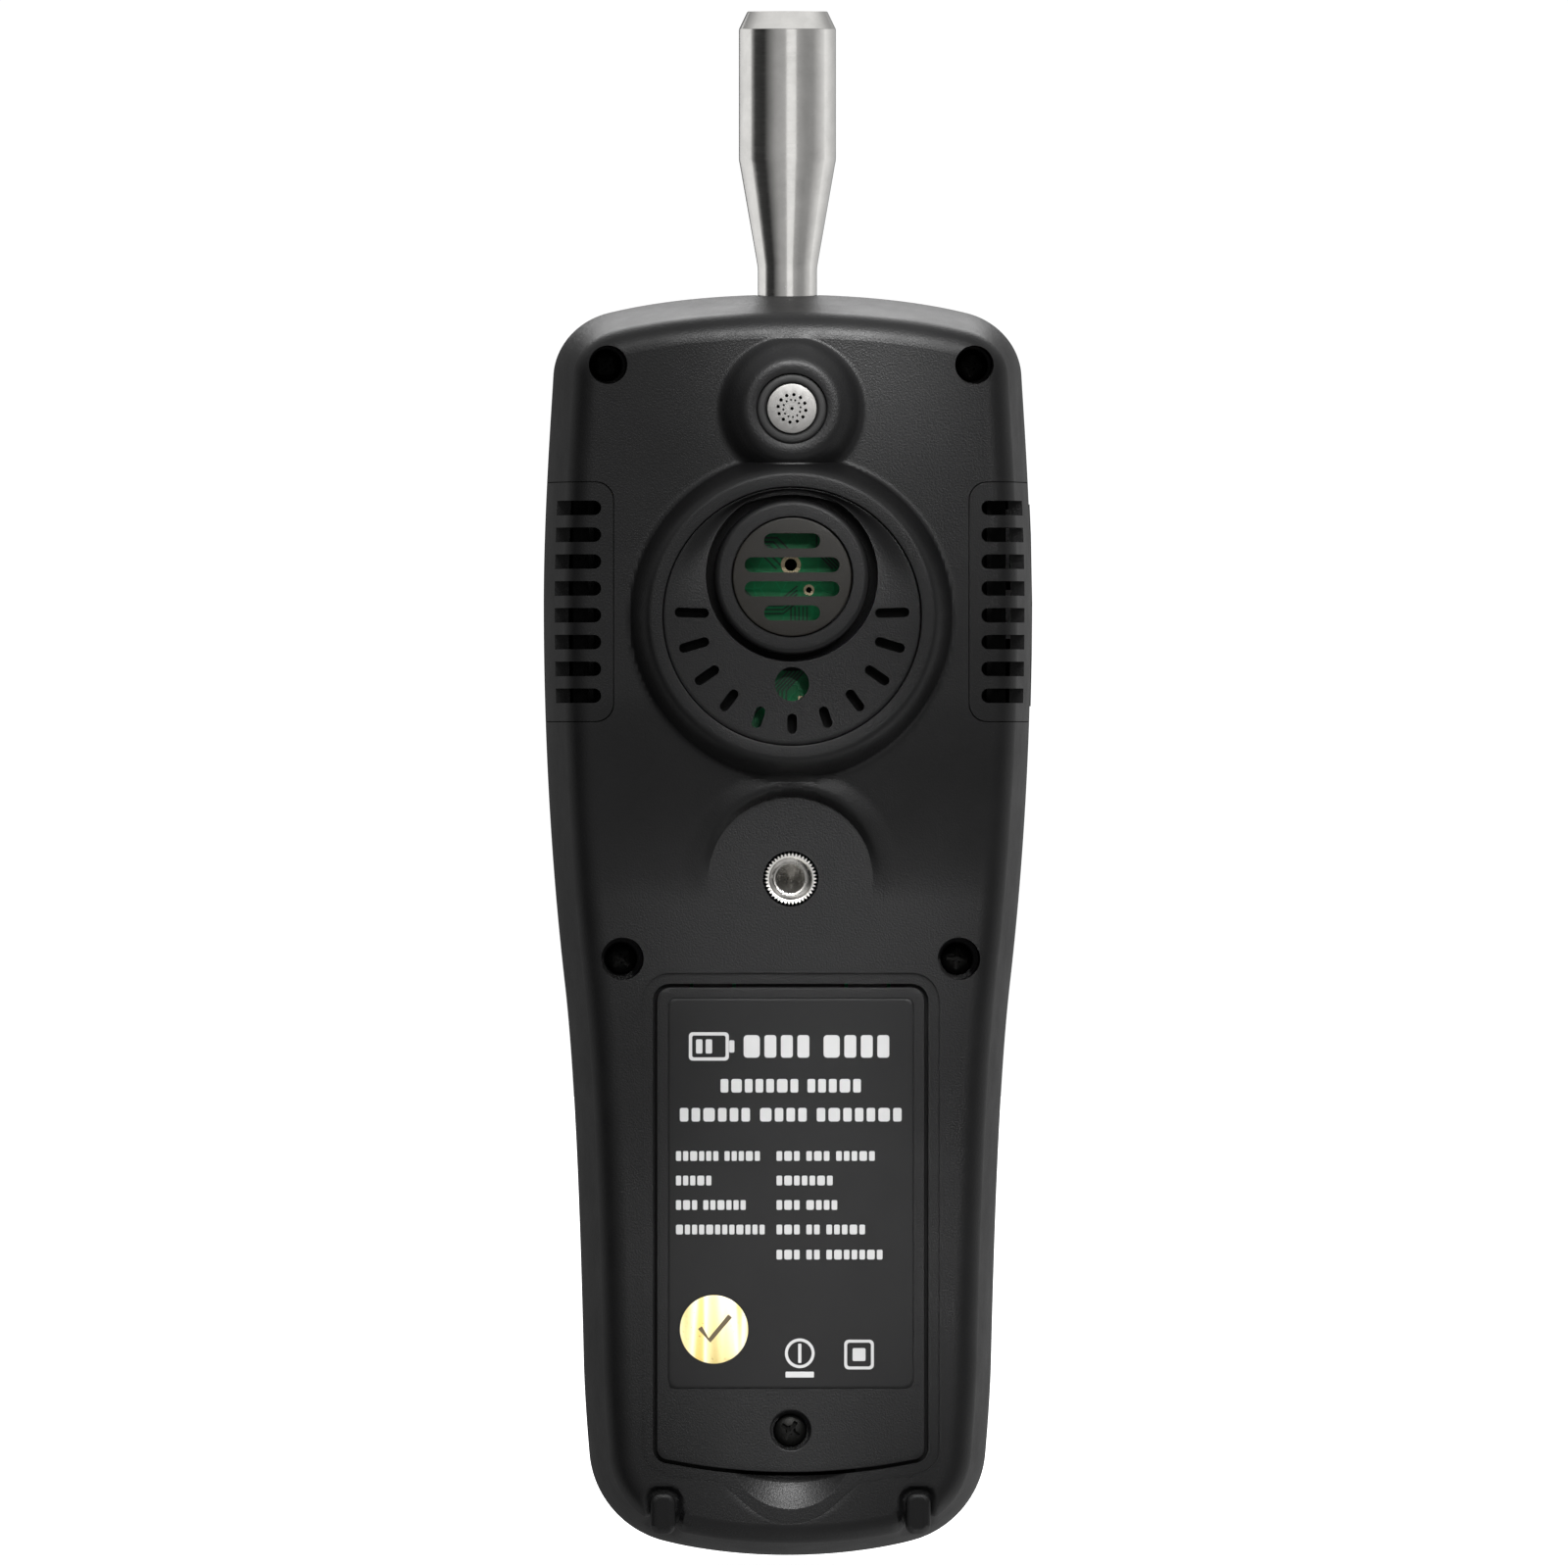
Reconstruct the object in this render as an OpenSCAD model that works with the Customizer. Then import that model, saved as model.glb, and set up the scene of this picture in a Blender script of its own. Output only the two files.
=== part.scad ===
// Hand-held air quality monitor: a laser particle counter with a steel sampling probe.
// Frame: +Z up along the body, +Y out of the back, origin at the mouth of the tripod socket.
// The modules work in heights above the lowest point of the body; placed() shifts them into the frame.

/* [Body] */
// Height of the body without the probe
body_h = 196; // [194:0.5:198]
// Greatest width, at the vents
body_w = 75.8; // [74.8:0.2:76.8]
// Thickness of the case walls
wall = 2.2; // [1.8:0.1:2.4]
// Height of the tripod socket above the lowest point
socket_h = 105.2; // [104:0.1:106]
// How far the head stands behind the grip at the back
head_step = 3.5; // [3:0.1:4]

/* [Probe] */
// Height of the probe above the body
probe_h = 44; // [40:1:48]
// Diameter of the probe's mouth end
probe_d = 15.1; // [14.6:0.1:15.6]
// Diameter of the probe's neck
neck_d = 9.2; // [9:0.1:9.6]

/* [Round vent] */
// Radius of the vent plate
plate_r = 20; // [19.6:0.1:20.2]
// Rise of its rim above the head
rim_rise = 5; // [4.5:0.1:5.4]
// Radius of the slotted cap
cap_r = 9.25; // [9:0.05:9.4]
// Number of radial slots
radial_slots = 11; // [7:2:11]

/* [Side vents] */
// Number of slots in each side grille
side_slots = 8; // [6:1:8]
// Distance from slot to slot
side_pitch = 4.16; // [4:0.02:4.2]

/* [Battery bay] */
// Width of the battery cover
cover_w = 41.9; // [41:0.1:42.4]
// Height of the cover's top edge above the lowest point
cover_top = 88.5; // [88:0.1:89]
// Diameter of each battery cell
cell_d = 18.2; // [17.6:0.1:18.4]

/* [Front] */
// Width of the display window
window_w = 57; // [55:0.5:58]
// Height of the display window
window_h = 47; // [45:0.5:48]
// How far a key travels when pressed
key_travel = 0.8; // [0.5:0.1:0.8]

/* [Hidden] */
$fn = 48;

// Depths along Y
part_y = -20;
grip_back = -0.3;
head_back = grip_back + head_step;
grip_front = -40;
head_front = -47.3;
rim_y = head_back + rim_rise;
gap = 0.3;

// Heights of the changes of depth
back_slope = [102, 134];
front_slope = [86, 114];

// Section of the body: side draft and edge radius of each half, and how the edge widens at the top and bottom
back_draft = 2.6;
back_edge = 4;
front_draft = 2;
front_edge = 5;
end_trim = [0.06, -0.24];

// Half outline from the top centre to the bottom centre, as cubic curves: four points and the number of steps
half_outline = [
    [[0, 196], [10, 196], [20, 195.1], [28, 193.1], 4],
    [[28, 193.1], [32.5, 191.95], [36.1, 188.2], [36.4, 183.5], 5],
    [[36.4, 183.5], [36.7, 178], [37.9, 162], [37.9, 148], 4],
    [[37.9, 148], [37.9, 126], [36.6, 106], [34.6, 88.7], 8],
    [[34.6, 88.7], [33, 74.7], [32.2, 52], [31.7, 31], 5],
    [[31.7, 31], [31.6, 26], [31.2, 20.5], [30.8, 15.8], 2],
    [[30.8, 15.8], [30.3, 9.5], [25.8, 4], [19.5, 2.3], 6],
    [[19.5, 2.3], [14, 0.85], [7, 0], [0, 0], 4]
];

// Centres and radii of the features on the back
plate_z = 145.9;
cap_z = 152;
status_hole = [135.4, 2.64];
sensor_z = 178.1;
sensor_boss_r = 7.6;
sensor_face = 7.2;
sensor_r = 3.9;
sensor_hole_r = 5.45;
pad_r = 13.7;
socket_r = 2.6;
insert_r = 4.1;
vent_z = 148.15;
vent_size = [27.5, 37.3];
upper_screw = [28.4, 184.9, 3];
lower_screw = [26.1, 92.8, 3.3];
screw_seat = -12;
cover_bottom = 13;
cover_bow = 94;
cover_hook = [12, 6];
cover_screw_z = 19.65;
foot_spot = [19.8, 6.7];
scoop = [0, 9.3, 15.2];
scoop_r = 13.9;
flap_z = [132, 163.4];
flap_y = [-34, -22];
probe_y = part_y;
spigot_r = 3;

// Front features
window_z = 158;
window_y = head_front - 0.9;
soft_key_z = 122;
soft_key_x = 17.5;
pad_key_z = 64;
board_y = -34.5;

function mix(a, b, t) = a + (b - a) * t;
function ease(t) = let(u = min(max(t, 0), 1)) u * u * (3 - 2 * u);
function back_at(z) = mix(grip_back, head_back, ease((z - back_slope[0]) / (back_slope[1] - back_slope[0])));
function front_at(z) = mix(grip_front, head_front, ease((z - front_slope[0]) / (front_slope[1] - front_slope[0])));
function bezier(p, t) = pow(1 - t, 3) * p[0] + 3 * t * pow(1 - t, 2) * p[1]
    + 3 * t * t * (1 - t) * p[2] + pow(t, 3) * p[3];
function arc(cx, cz, r, from, to, steps) = [
    for (i = [0:steps]) let(a = mix(from, to, i / steps)) [cx + r * cos(a), cz + r * sin(a)]
];

// The whole outline as a ring of points, with the outward normal of each
right_half = [
    for (s = half_outline, i = [0:s[4] - 1])
        let(p = bezier(s, i / s[4])) [p[0] * body_w / 75.8, p[1] * body_h / 196]
];
half_n = len(right_half);
ring_n = 2 * half_n;
outline = concat(right_half, [[0, 0]], [for (i = [half_n - 1:-1:1]) [-right_half[i][0], right_half[i][1]]]);
normals = [
    for (i = [0:ring_n - 1])
        let(d = outline[(i + 1) % ring_n] - outline[(i + ring_n - 1) % ring_n], l = norm(d)) [-d[1] / l, d[0] / l]
];

// One ring of a half shell: inset at the side, share of the side's height and angle round the edge
function ring(inset, share, angle, skin, side) = [
    for (i = [0:ring_n - 1])
        let(
            n = normals[i],
            edge = side > 0 ? back_edge : front_edge,
            push = inset * (1 + end_trim[n[1] > 0 ? 0 : 1] * n[1] * n[1]) + skin,
            p = outline[i] - n * push,
            face = side > 0 ? back_at(p[1]) : front_at(p[1]),
            low = share == 0 && skin > 0 ? part_y - side : part_y
        ) [p[0], mix(low, face - side * edge, share) + side * (edge - skin) * sin(angle), p[1]]
];
function levels(skin, side) =
    let(draft = side > 0 ? back_draft : front_draft, edge = side > 0 ? back_edge : front_edge)
    concat(
        [for (s = [0, 0.5, 1]) ring(draft * pow(s, 1.6), s, 0, skin, side)],
        [for (a = [30, 60, 90]) ring(draft + (edge - skin) * (1 - cos(a)), 1, a, skin, side)]
    );
function strip(base, flip) = [
    for (i = [0:half_n - 1])
        let(a = i, b = i + 1, c = (ring_n - i - 1) % ring_n, d = (ring_n - i) % ring_n,
            f = i == 0 ? [a, b, c] : i == half_n - 1 ? [a, b, d] : [a, b, c, d])
        [for (k = flip ? [len(f) - 1:-1:0] : [0:len(f) - 1]) base + f[k]]
];

// A solid half of the body, shrunk by skin, to the back (side 1) or to the front (side -1)
module half_body(skin, side) {
    rings = levels(skin, side);
    top = (len(rings) - 1) * ring_n;
    walls = [
        for (j = [0:len(rings) - 2], i = [0:ring_n - 1])
            let(k = (i + 1) % ring_n, a = j * ring_n + i, b = j * ring_n + k, c = b + ring_n, d = a + ring_n)
            each (side > 0 ? [[a, c, b], [a, d, c]] : [[a, b, c], [a, c, d]])
    ];
    polyhedron([for (r = rings) each r], concat(strip(0, side < 0), walls, strip(top, side > 0)));
}
module half_shell(side) {
    difference() {
        half_body(0, side);
        half_body(wall, side);
    }
}

// Round bars, tubes and turned shapes along Y
module bar(r, y0, y1, x = 0, z = 0) {
    translate([x, y0, z]) rotate([-90, 0, 0]) cylinder(r = r, h = y1 - y0);
}
module pipe(r, bore, y0, y1, x = 0, z = 0) {
    difference() {
        bar(r, y0, y1, x, z);
        bar(bore, y0 - 1, y1 + 1, x, z);
    }
}
module turned(points, x = 0, z = 0) {
    translate([x, 0, z]) rotate([-90, 0, 0]) rotate_extrude() polygon(points);
}
module box(lo, hi) {
    translate(lo) cube(hi - lo);
}
// A flat shape drawn in X and height, pulled from y0 to y1
module slab(y0, y1) {
    translate([0, y1, 0]) rotate([90, 0, 0]) linear_extrude(y1 - y0) children();
}
module rounded(w, h, r) {
    square([w - 2 * r, h], center = true);
    square([w, h - 2 * r], center = true);
    for (x = [-1, 1], z = [-1, 1]) translate([x * (w / 2 - r), z * (h / 2 - r)]) circle(r);
}
module pill(w, h) {
    if (w > h) rounded(w, h, h / 2 - 0.001);
    else rounded(w, h, w / 2 - 0.001);
}
module each_side() {
    children();
    mirror([1, 0, 0]) children();
}
module placed() {
    translate([0, 0, -socket_h]) children();
}

// Case
module screw_spots() {
    for (s = [upper_screw, lower_screw], side = [-1, 1]) translate([side * s[0], 0, s[1]]) children();
}
module vent_window(grow) {
    each_side() translate([vent_size[0] - grow, part_y + 1.5 - grow, vent_z - vent_size[1] / 2 - grow])
        cube([20, 30, vent_size[1] + 2 * grow]);
}
module vent_rim() {
    inner = plate_r + 0.05;
    turned([
        [inner - 1.25, head_back - 2], [inner - 1.25, rim_y - 3], [inner, rim_y - 3], [inner, rim_y - 0.2],
        [inner + 0.2, rim_y], [inner + 1.4, rim_y], [inner + 2.2, rim_y - 0.35], [inner + 2.8, rim_y - 1.1],
        [inner + 3.6, rim_y - 2.9], [inner + 4.4, rim_y - 4.1], [inner + 5.9, head_back], [inner + 5.9, head_back - 2]
    ], 0, plate_z);
}
module sensor_boss() {
    turned([
        [sensor_hole_r, -1], [sensor_hole_r, sensor_face - 0.2], [sensor_hole_r + 0.2, sensor_face],
        [sensor_boss_r - 0.6, sensor_face], [sensor_boss_r, sensor_face - 0.4],
        [sensor_boss_r + 0.8, sensor_face - 1.8], [sensor_boss_r + 1.5, sensor_face - 3],
        [sensor_boss_r + 2.9, head_back], [sensor_boss_r + 2.9, head_back - 2], [sensor_hole_r + 2, -1]
    ], 0, sensor_z);
}
module cover_shape(grow) {
    hw = cover_w / 2 + grow;
    top = cover_top + grow;
    rt = 2.2 + grow;
    rb = 2 + grow;
    low = cover_bottom - grow;
    side_low = low + pow(hw - rb, 2) / (2 * cover_bow);
    bow = [for (i = [-5:5]) let(x = -i * (hw - rb) / 5) [x, low + x * x / (2 * cover_bow)]];
    polygon(concat(
        arc(hw - rt, top - rt, rt, 0, 90, 5),
        arc(rt - hw, top - rt, rt, 90, 180, 5),
        arc(rb - hw, side_low + rb, rb, 180, 265, 4),
        [for (i = [9:-1:1]) bow[i]],
        arc(hw - rb, side_low + rb, rb, 275, 360, 4)
    ));
}
module scoop_cup() {
    intersection() {
        translate(scoop) sphere(scoop_r + 1.5, $fn = 64);
        box([-16, -7, 3.5], [16, -1.5, 15]);
    }
}
module foot_outlines(grow) {
    for (side = [-1, 1]) slab(-8, 4) translate([side * foot_spot[0], foot_spot[1]])
        rounded(4.1 + 2 * grow, 6.6 + 2 * grow, 1.9 + grow);
}
module foot_pockets() {
    difference() {
        foot_outlines(1.1);
        half_body(1.2, 1);
    }
}
module rear_case() {
    color([0.13, 0.13, 0.135]) difference() {
        union() {
            half_shell(1);
            vent_rim();
            sensor_boss();
            screw_spots() bar(4.6, part_y, -1.5);
            bar(7, -11, -1.5, 0, socket_h);
            scoop_cup();
        }
        bar(plate_r - 1.2, -30, rim_y + 1, 0, plate_z);
        bar(plate_r + 0.05, rim_y - 3, rim_y + 1, 0, plate_z);
        bar(sensor_hole_r, -30, sensor_face + 1, 0, sensor_z);
        bar(pad_r, grip_back, 10, 0, socket_h);
        bar(insert_r, -9, 1, 0, socket_h);
        for (s = [upper_screw, lower_screw], side = [-1, 1]) {
            bar(s[2], screw_seat, 10, side * s[0], s[1]);
            bar(1.7, part_y - 1, screw_seat + 1, side * s[0], s[1]);
        }
        vent_window(0);
        slab(-8, 4) cover_shape(gap);
        slab(grip_back - 0.5, 4) cover_shape(2.1);
        translate(scoop) sphere(scoop_r, $fn = 64);
        foot_pockets();
        inlet_hole();
        each_side() bar(1.12, 0, 2.3, 20.5, 129.5);
    }
}
module inlet_hole() {
    translate([0, probe_y, body_h - 10]) cylinder(r = spigot_r, h = 20);
    translate([0, probe_y, body_h - 1.4]) cylinder(d = neck_d + 2 * gap, h = 10);
    translate([0, probe_y, body_h - 5]) cylinder(r = spigot_r + 2.2, h = 2);
}
module front_case() {
    color([0.15, 0.15, 0.155]) difference() {
        union() {
            half_shell(-1);
            slab(window_y - 0.6, head_front + 0.5) translate([0, window_z]) rounded(window_w + 5, window_h + 5, 5);
            intersection() {
                screw_spots() bar(3.6, head_front + 1, part_y);
                half_body(0.5, -1);
            }
        }
        slab(window_y - 5, window_y + 1.5) translate([0, window_z]) rounded(window_w + 0.4, window_h + 0.4, 3.2);
        slab(window_y - 5, head_front + 6) translate([0, window_z - 1]) rounded(51, 39, 1);
        screw_spots() bar(1.55, -36, part_y + 1);
        for (k = key_list) key_hole(k);
        flap_pocket();
        box([-40, -30.7, 142.3], [-30, -27.3, 150.3]);
        translate([-40, -29, 137.3]) rotate([0, 90, 0]) cylinder(r = 3.1, h = 12);
        box([-40, -30, 151.4], [-30, -28.2, 162.8]);
        inlet_hole();
    }
}
module case_screws() {
    color("darkgray") screw_spots() difference() {
        union() {
            bar(2.5, screw_seat, screw_seat + 1.6);
            bar(1.5, -34, screw_seat);
        }
        for (a = [0, 90]) rotate([0, a, 0]) box([-1.5, screw_seat + 0.5, -0.3], [1.5, screw_seat + 3, 0.3]);
    }
}
module knurled_bar(r, teeth, y0, y1) {
    slab(y0, y1) polygon([
        for (i = [0:2 * teeth - 1]) let(a = 180 * i / teeth, q = r - (i % 2) * 0.25) [q * cos(a), q * sin(a)]
    ]);
}
module tripod_insert() {
    color("silver") translate([0, 0, socket_h]) difference() {
        union() {
            knurled_bar(insert_r, 42, -3, 0);
            bar(insert_r - 0.6, -6, -3);
            knurled_bar(insert_r, 42, -8.8, -6);
        }
        bar(socket_r, -7.5, 1);
        turned([[0, -0.6], [socket_r, -0.6], [socket_r + 0.8, 0.2], [0, 0.2]]);
    }
}

// Side grilles: pieces of the rear shell's own wall with slots round the corner
module vent_grille(side) {
    low = vent_z - vent_size[1] / 2;
    color([0.16, 0.16, 0.165]) difference() {
        intersection() {
            half_shell(1);
            translate([side > 0 ? vent_size[0] + 0.1 : -40, part_y + 1.6, low + 0.1])
                cube([40 - vent_size[0] - 0.1, 30, vent_size[1] - 0.2]);
        }
        for (i = [0:side_slots - 1]) translate([side * 30.6, -7, vent_z + (i - (side_slots - 1) / 2) * side_pitch])
            vent_slot(side);
    }
}
module vent_slot(side) {
    translate([side > 0 ? 0 : -12, 0, -1.15]) cube([12, 20, 2.3]);
    translate([0, 20, 0]) rotate([90, 0, 0]) cylinder(r = 1.15, h = 20);
}

// Round vent
module vent_plate() {
    face = rim_y - 0.7;
    boss_r = 12.35;
    groove_r = 13.4;
    color([0.16, 0.16, 0.165]) difference() {
        union() {
            bar(plate_r, rim_y - 3, face, 0, plate_z);
            bar(boss_r, rim_y - 3, rim_y, 0, cap_z);
        }
        pipe(groove_r, boss_r, face - 0.9, face + 1, 0, cap_z);
        bar(cap_r + 0.1, rim_y - 2.2, rim_y + 1, 0, cap_z);
        bar(cap_r - 0.8, rim_y - 5, rim_y + 1, 0, cap_z);
        bar(status_hole[1], rim_y - 5, rim_y + 1, 0, status_hole[0]);
        half = (radial_slots - 1) / 2;
        for (i = [-half:half]) {
            length = 3.1 + 2.2 * pow(abs(i) / half, 1.2);
            slab(rim_y - 5, rim_y + 1) translate([0, plate_z]) rotate(18.4 * i)
                translate([0, -18.2 + length / 2]) rounded(1.5, length, 0.74);
        }
    }
}
module vent_cap() {
    color([0.2, 0.2, 0.19]) difference() {
        bar(cap_r, rim_y - 2.2, rim_y - 0.35, 0, cap_z);
        for (s = [[-5.58, 8.7], [-1.86, 14.7], [1.86, 14.7], [5.58, 8.7]])
            slab(rim_y - 5, rim_y + 1) translate([0, cap_z + s[0]]) rounded(s[1], 2.35, 1.17);
    }
}

// Gas sensor
module gas_sensor() {
    color("gainsboro") difference() {
        union() {
            bar(sensor_hole_r - 0.15, 2, sensor_face - 1.6, 0, sensor_z);
            bar(7.4, -8, -1.1, 0, sensor_z);
            bar(sensor_hole_r - 0.4, -1.1, 2, 0, sensor_z);
        }
        bar(3, 3, 10, 0, sensor_z);
    }
    color("gold") for (x = [-3, 3]) bar(0.5, -8.8, -8, x, sensor_z - 2);
}
module gas_sensor_grille() {
    color("silver") difference() {
        bar(sensor_r, sensor_face - 1.6, sensor_face - 0.35, 0, sensor_z);
        bar(0.27, 0, 10, 0, sensor_z);
        for (i = [0:11]) {
            a = 30 * i + 8;
            bar(0.27, 0, 10, 2.15 * cos(a), sensor_z + 2.15 * sin(a));
            bar(0.17, 0, 10, 1.35 * cos(a + 15), sensor_z + 1.35 * sin(a + 15));
        }
    }
}
module gas_sensor_gasket() {
    top = sensor_face - 0.6;
    color([0.1, 0.1, 0.1]) turned([
        [sensor_r + 0.03, top - 1], [sensor_hole_r - 0.03, top - 1], [sensor_hole_r - 0.03, top - 0.2],
        [sensor_hole_r - 0.6, top], [sensor_r + 0.4, top], [sensor_r + 0.03, top - 0.25]
    ], 0, sensor_z);
}

// Battery bay
label_size = [37.9, 60.4];
label_z = 56.4;
module battery_cover() {
    inside = grip_back - wall;
    color([0.14, 0.14, 0.145]) difference() {
        union() {
            slab(inside, grip_back) cover_shape(0);
            bar(4, inside - 2.1, inside + 1, 0, cover_screw_z);
            each_side() {
                box([cover_hook[0] - 3, inside - 1.5, cover_top - 4], [cover_hook[0] + 3, inside + 1, cover_top - 0.4]);
                box([cover_hook[0] - 3, inside - 1.5, cover_top - 2], [cover_hook[0] + 3, inside - 0.1, cover_top + 1.6]);
                box([17.4, inside - 1, 30], [18.6, inside + 1, 80]);
            }
        }
        slab(grip_back - 0.35, 3) translate([0, label_z]) rounded(label_size[0] + 0.3, label_size[1] + 0.3, 1.2);
        bar(3.05, grip_back - 3.1, 3, 0, cover_screw_z);
        bar(1.6, -10, 3, 0, cover_screw_z);
    }
}
module cover_label() {
    color([0.17, 0.17, 0.175]) slab(grip_back - 0.35, grip_back - 0.1) translate([0, label_z])
        rounded(label_size[0], label_size[1], 1.05);
}
module inspection_sticker() {
    color("goldenrod") bar(5.3, grip_back - 0.1, grip_back - 0.02, 11.9, 35.3);
}
module cover_screw() {
    seat = grip_back - 3.1;
    color("dimgray") translate([0, 0, cover_screw_z]) difference() {
        union() {
            turned([[0, seat], [2.5, seat], [2.5, seat + 1], [1.9, seat + 1.7], [0, seat + 2]]);
            bar(1.2, seat - 4, seat);
        }
        for (a = [30, 120]) rotate([0, a, 0]) box([-1.5, seat + 0.8, -0.3], [1.5, seat + 3, 0.3]);
    }
}
module cover_screw_insert() {
    color("goldenrod") translate([0, 0, cover_screw_z]) difference() {
        knurled_bar(2.1, 20, -9, -5.1);
        bar(1.55, -10, -5);
    }
}
module battery_tray() {
    top = grip_back - wall - 0.1;
    color([0.2, 0.2, 0.2]) difference() {
        union() {
            difference() {
                box([-21.4, top - 21.1, 23.6], [21.4, top, 87]);
                box([-19.8, top - 19.9, 25.1], [19.8, top + 1, 85.5]);
            }
            difference() {
                box([-24, top - 1.2, 11.6], [24, top, 91]);
                box([-19.8, top - 2, 25.1], [19.8, top + 1, 85.5]);
                translate(scoop) sphere(scoop_r + 1.8, $fn = 64);
                screw_spots() bar(4.9, -20, 0);
            }
            bar(3.6, -11, -5, 0, cover_screw_z);
            box([-6, -11, 19], [6, -9.2, 24]);
        }
        bar(4.4, grip_back - wall - 2.5, 0, 0, cover_screw_z);
        bar(2.1, -9.1, 0, 0, cover_screw_z);
        each_side() box([cover_hook[0] - 3.6, top - 2.6, 80], [cover_hook[0] + 3.6, top + 1, 92]);
    }
}
cell_y = grip_back - wall - 1.2 - cell_d / 2;
cell_z = [26, 76];
module battery_cells() {
    color("lightblue") for (side = [-1, 1]) translate([side * (cell_d / 2 + 0.1), cell_y, cell_z[0]]) {
        cylinder(d = cell_d, h = cell_z[1] - cell_z[0]);
        translate([0, 0, cell_z[1] - cell_z[0]]) cylinder(r = 3, h = 1);
    }
}
module wrap_bar(r, h) {
    for (side = [-1, 1]) translate([side * (cell_d / 2 + 0.1), 0, 0]) cylinder(r = r, h = h);
    translate([-cell_d / 2, -r, 0]) cube([cell_d, 2 * r, h]);
}
module battery_wrap() {
    color("royalblue") translate([0, cell_y, cell_z[0] + 0.5]) difference() {
        wrap_bar(cell_d / 2 + 0.35, cell_z[1] - cell_z[0] - 1);
        translate([0, 0, -1]) wrap_bar(cell_d / 2 + 0.02, cell_z[1] - cell_z[0] + 2);
    }
}
module battery_lead() {
    color("red") translate([-4, cell_y + 5, cell_z[1]]) cylinder(r = 0.7, h = 3.8);
    color([0.1, 0.1, 0.1]) translate([3, cell_y + 5, cell_z[1]]) {
        cylinder(r = 0.7, h = 6.5);
        translate([-3, 0, 6.5]) rotate([0, 90, 0]) cylinder(r = 0.7, h = 3);
        translate([0, 0, 6.5]) sphere(0.7);
    }
}
module battery_plug() {
    color("white") box([-8, cell_y + 2.4, cell_z[1] + 3.8], [0, cell_y + 7.6, cell_z[1] + 9.2]);
}
module rear_feet() {
    color([0.1, 0.1, 0.1]) intersection() {
        foot_outlines(0);
        difference() {
            half_body(-0.3, 1);
            half_body(1.2, 1);
        }
    }
}

// Ports on the left side, under a rubber flap
module flap_block(grow) {
    box([-42, flap_y[0] - grow, flap_z[0] - grow], [-30, flap_y[1] + grow, flap_z[1] + grow]);
}
module flap_pocket() {
    difference() {
        flap_block(gap);
        half_body(1.5, -1);
    }
}
module port_flap() {
    color([0.09, 0.09, 0.09]) intersection() {
        difference() {
            half_body(-0.35, -1);
            half_body(1.4, -1);
        }
        flap_block(0);
    }
}
module usb_socket() {
    color("silver") difference() {
        box([-35.4, -30.6, 142.5], [-26.5, -27.4, 150.1]);
        box([-36, -30.2, 142.9], [-28, -27.8, 149.7]);
    }
    color("black") box([-35, -29.3, 143.8], [-27.5, -28.7, 148.8]);
}
module power_jack() {
    color([0.1, 0.1, 0.1]) difference() {
        union() {
            translate([-35.4, -29, 137.3]) rotate([0, 90, 0]) cylinder(r = 3, h = 3);
            box([-33.4, -33, 133.3], [-26.5, -25, 141.3]);
        }
        translate([-36, -29, 137.3]) rotate([0, 90, 0]) cylinder(r = 2.8, h = 7.6);
    }
    color("silver") translate([-35, -29, 137.3]) rotate([0, 90, 0]) cylinder(r = 1, h = 7);
}
module card_slot() {
    color("silver") difference() {
        box([-34.8, -30.2, 151.5], [-26.5, -27.9, 162.7]);
        box([-36, -29.7, 152], [-26.9, -28.5, 162.2]);
    }
}
module memory_card() {
    color([0.08, 0.08, 0.08]) box([-35.2, -29.5, 152.1], [-27.8, -28.7, 162.1]);
}
module port_board() {
    color("darkgreen") box([-26.4, -35.5, 131], [-24.8, -20.5, 164.5]);
}

// Sampling probe and inlet
module sampling_probe() {
    top = body_h + probe_h;
    bore = 5.6;
    throat = 1.7;
    shoulder = 217;
    foot = body_h - 1.2;
    color("silver") translate([0, probe_y, 0]) rotate_extrude() polygon([
        [spigot_r + 0.1, foot], [neck_d / 2, foot], [neck_d / 2, 200.2], [probe_d / 2, shoulder],
        [probe_d / 2, top - 2.7], [probe_d / 2 - 1.35, top], [bore + 0.25, top], [bore, top - 0.3],
        [bore, 219], [throat, 208], [throat, 205], [spigot_r + 0.1, 204]
    ]);
}
module inlet_spigot() {
    color("silver") translate([0, probe_y, 0]) rotate_extrude() polygon([
        [1.7, 186.5], [3, 186.5], [3, body_h - 5], [5.1, body_h - 5], [5.1, body_h - 3.1], [3, body_h - 3.1],
        [3, 197.9], [2.3, 197.9], [2.3, 198.9], [3, 198.9],
        [3, 200.9], [2.3, 200.9], [2.3, 201.9], [3, 201.9], [3, 203], [2.6, 203.6], [1.7, 203.6]
    ]);
}
module probe_o_rings() {
    color("black") for (z = [197.9, 200.9]) translate([0, probe_y, z]) rotate_extrude()
        translate([2.67, 0.5]) circle(0.37, $fn = 24);
}

// Circuit boards
module main_board() {
    color("darkgreen") difference() {
        slab(board_y, board_y + 1.6) {
            translate([0, 58]) rounded(50, 84, 7);
            translate([0, 138.5]) rounded(60, 83, 3);
        }
        screw_spots() bar(4.2, -40, -20);
        box([-40, -40, 129], [-24, -20, 166]);
    }
}
module sensor_board() {
    color("green") difference() {
        slab(-1.2, 0.4) translate([0, 148]) rounded(46, 44, 2);
        bar(0.95, -3, 2, 0, 153.9);
        bar(0.45, -3, 2, -2.8, 150);
        each_side() bar(1.2, -3, 2, 20.5, 129.5);
    }
}
module board_screws() {
    color("silver") each_side() {
        bar(2, -2.3, -1.2, 20.5, 129.5);
        bar(1.1, -1.2, 2.1, 20.5, 129.5);
    }
}
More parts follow.
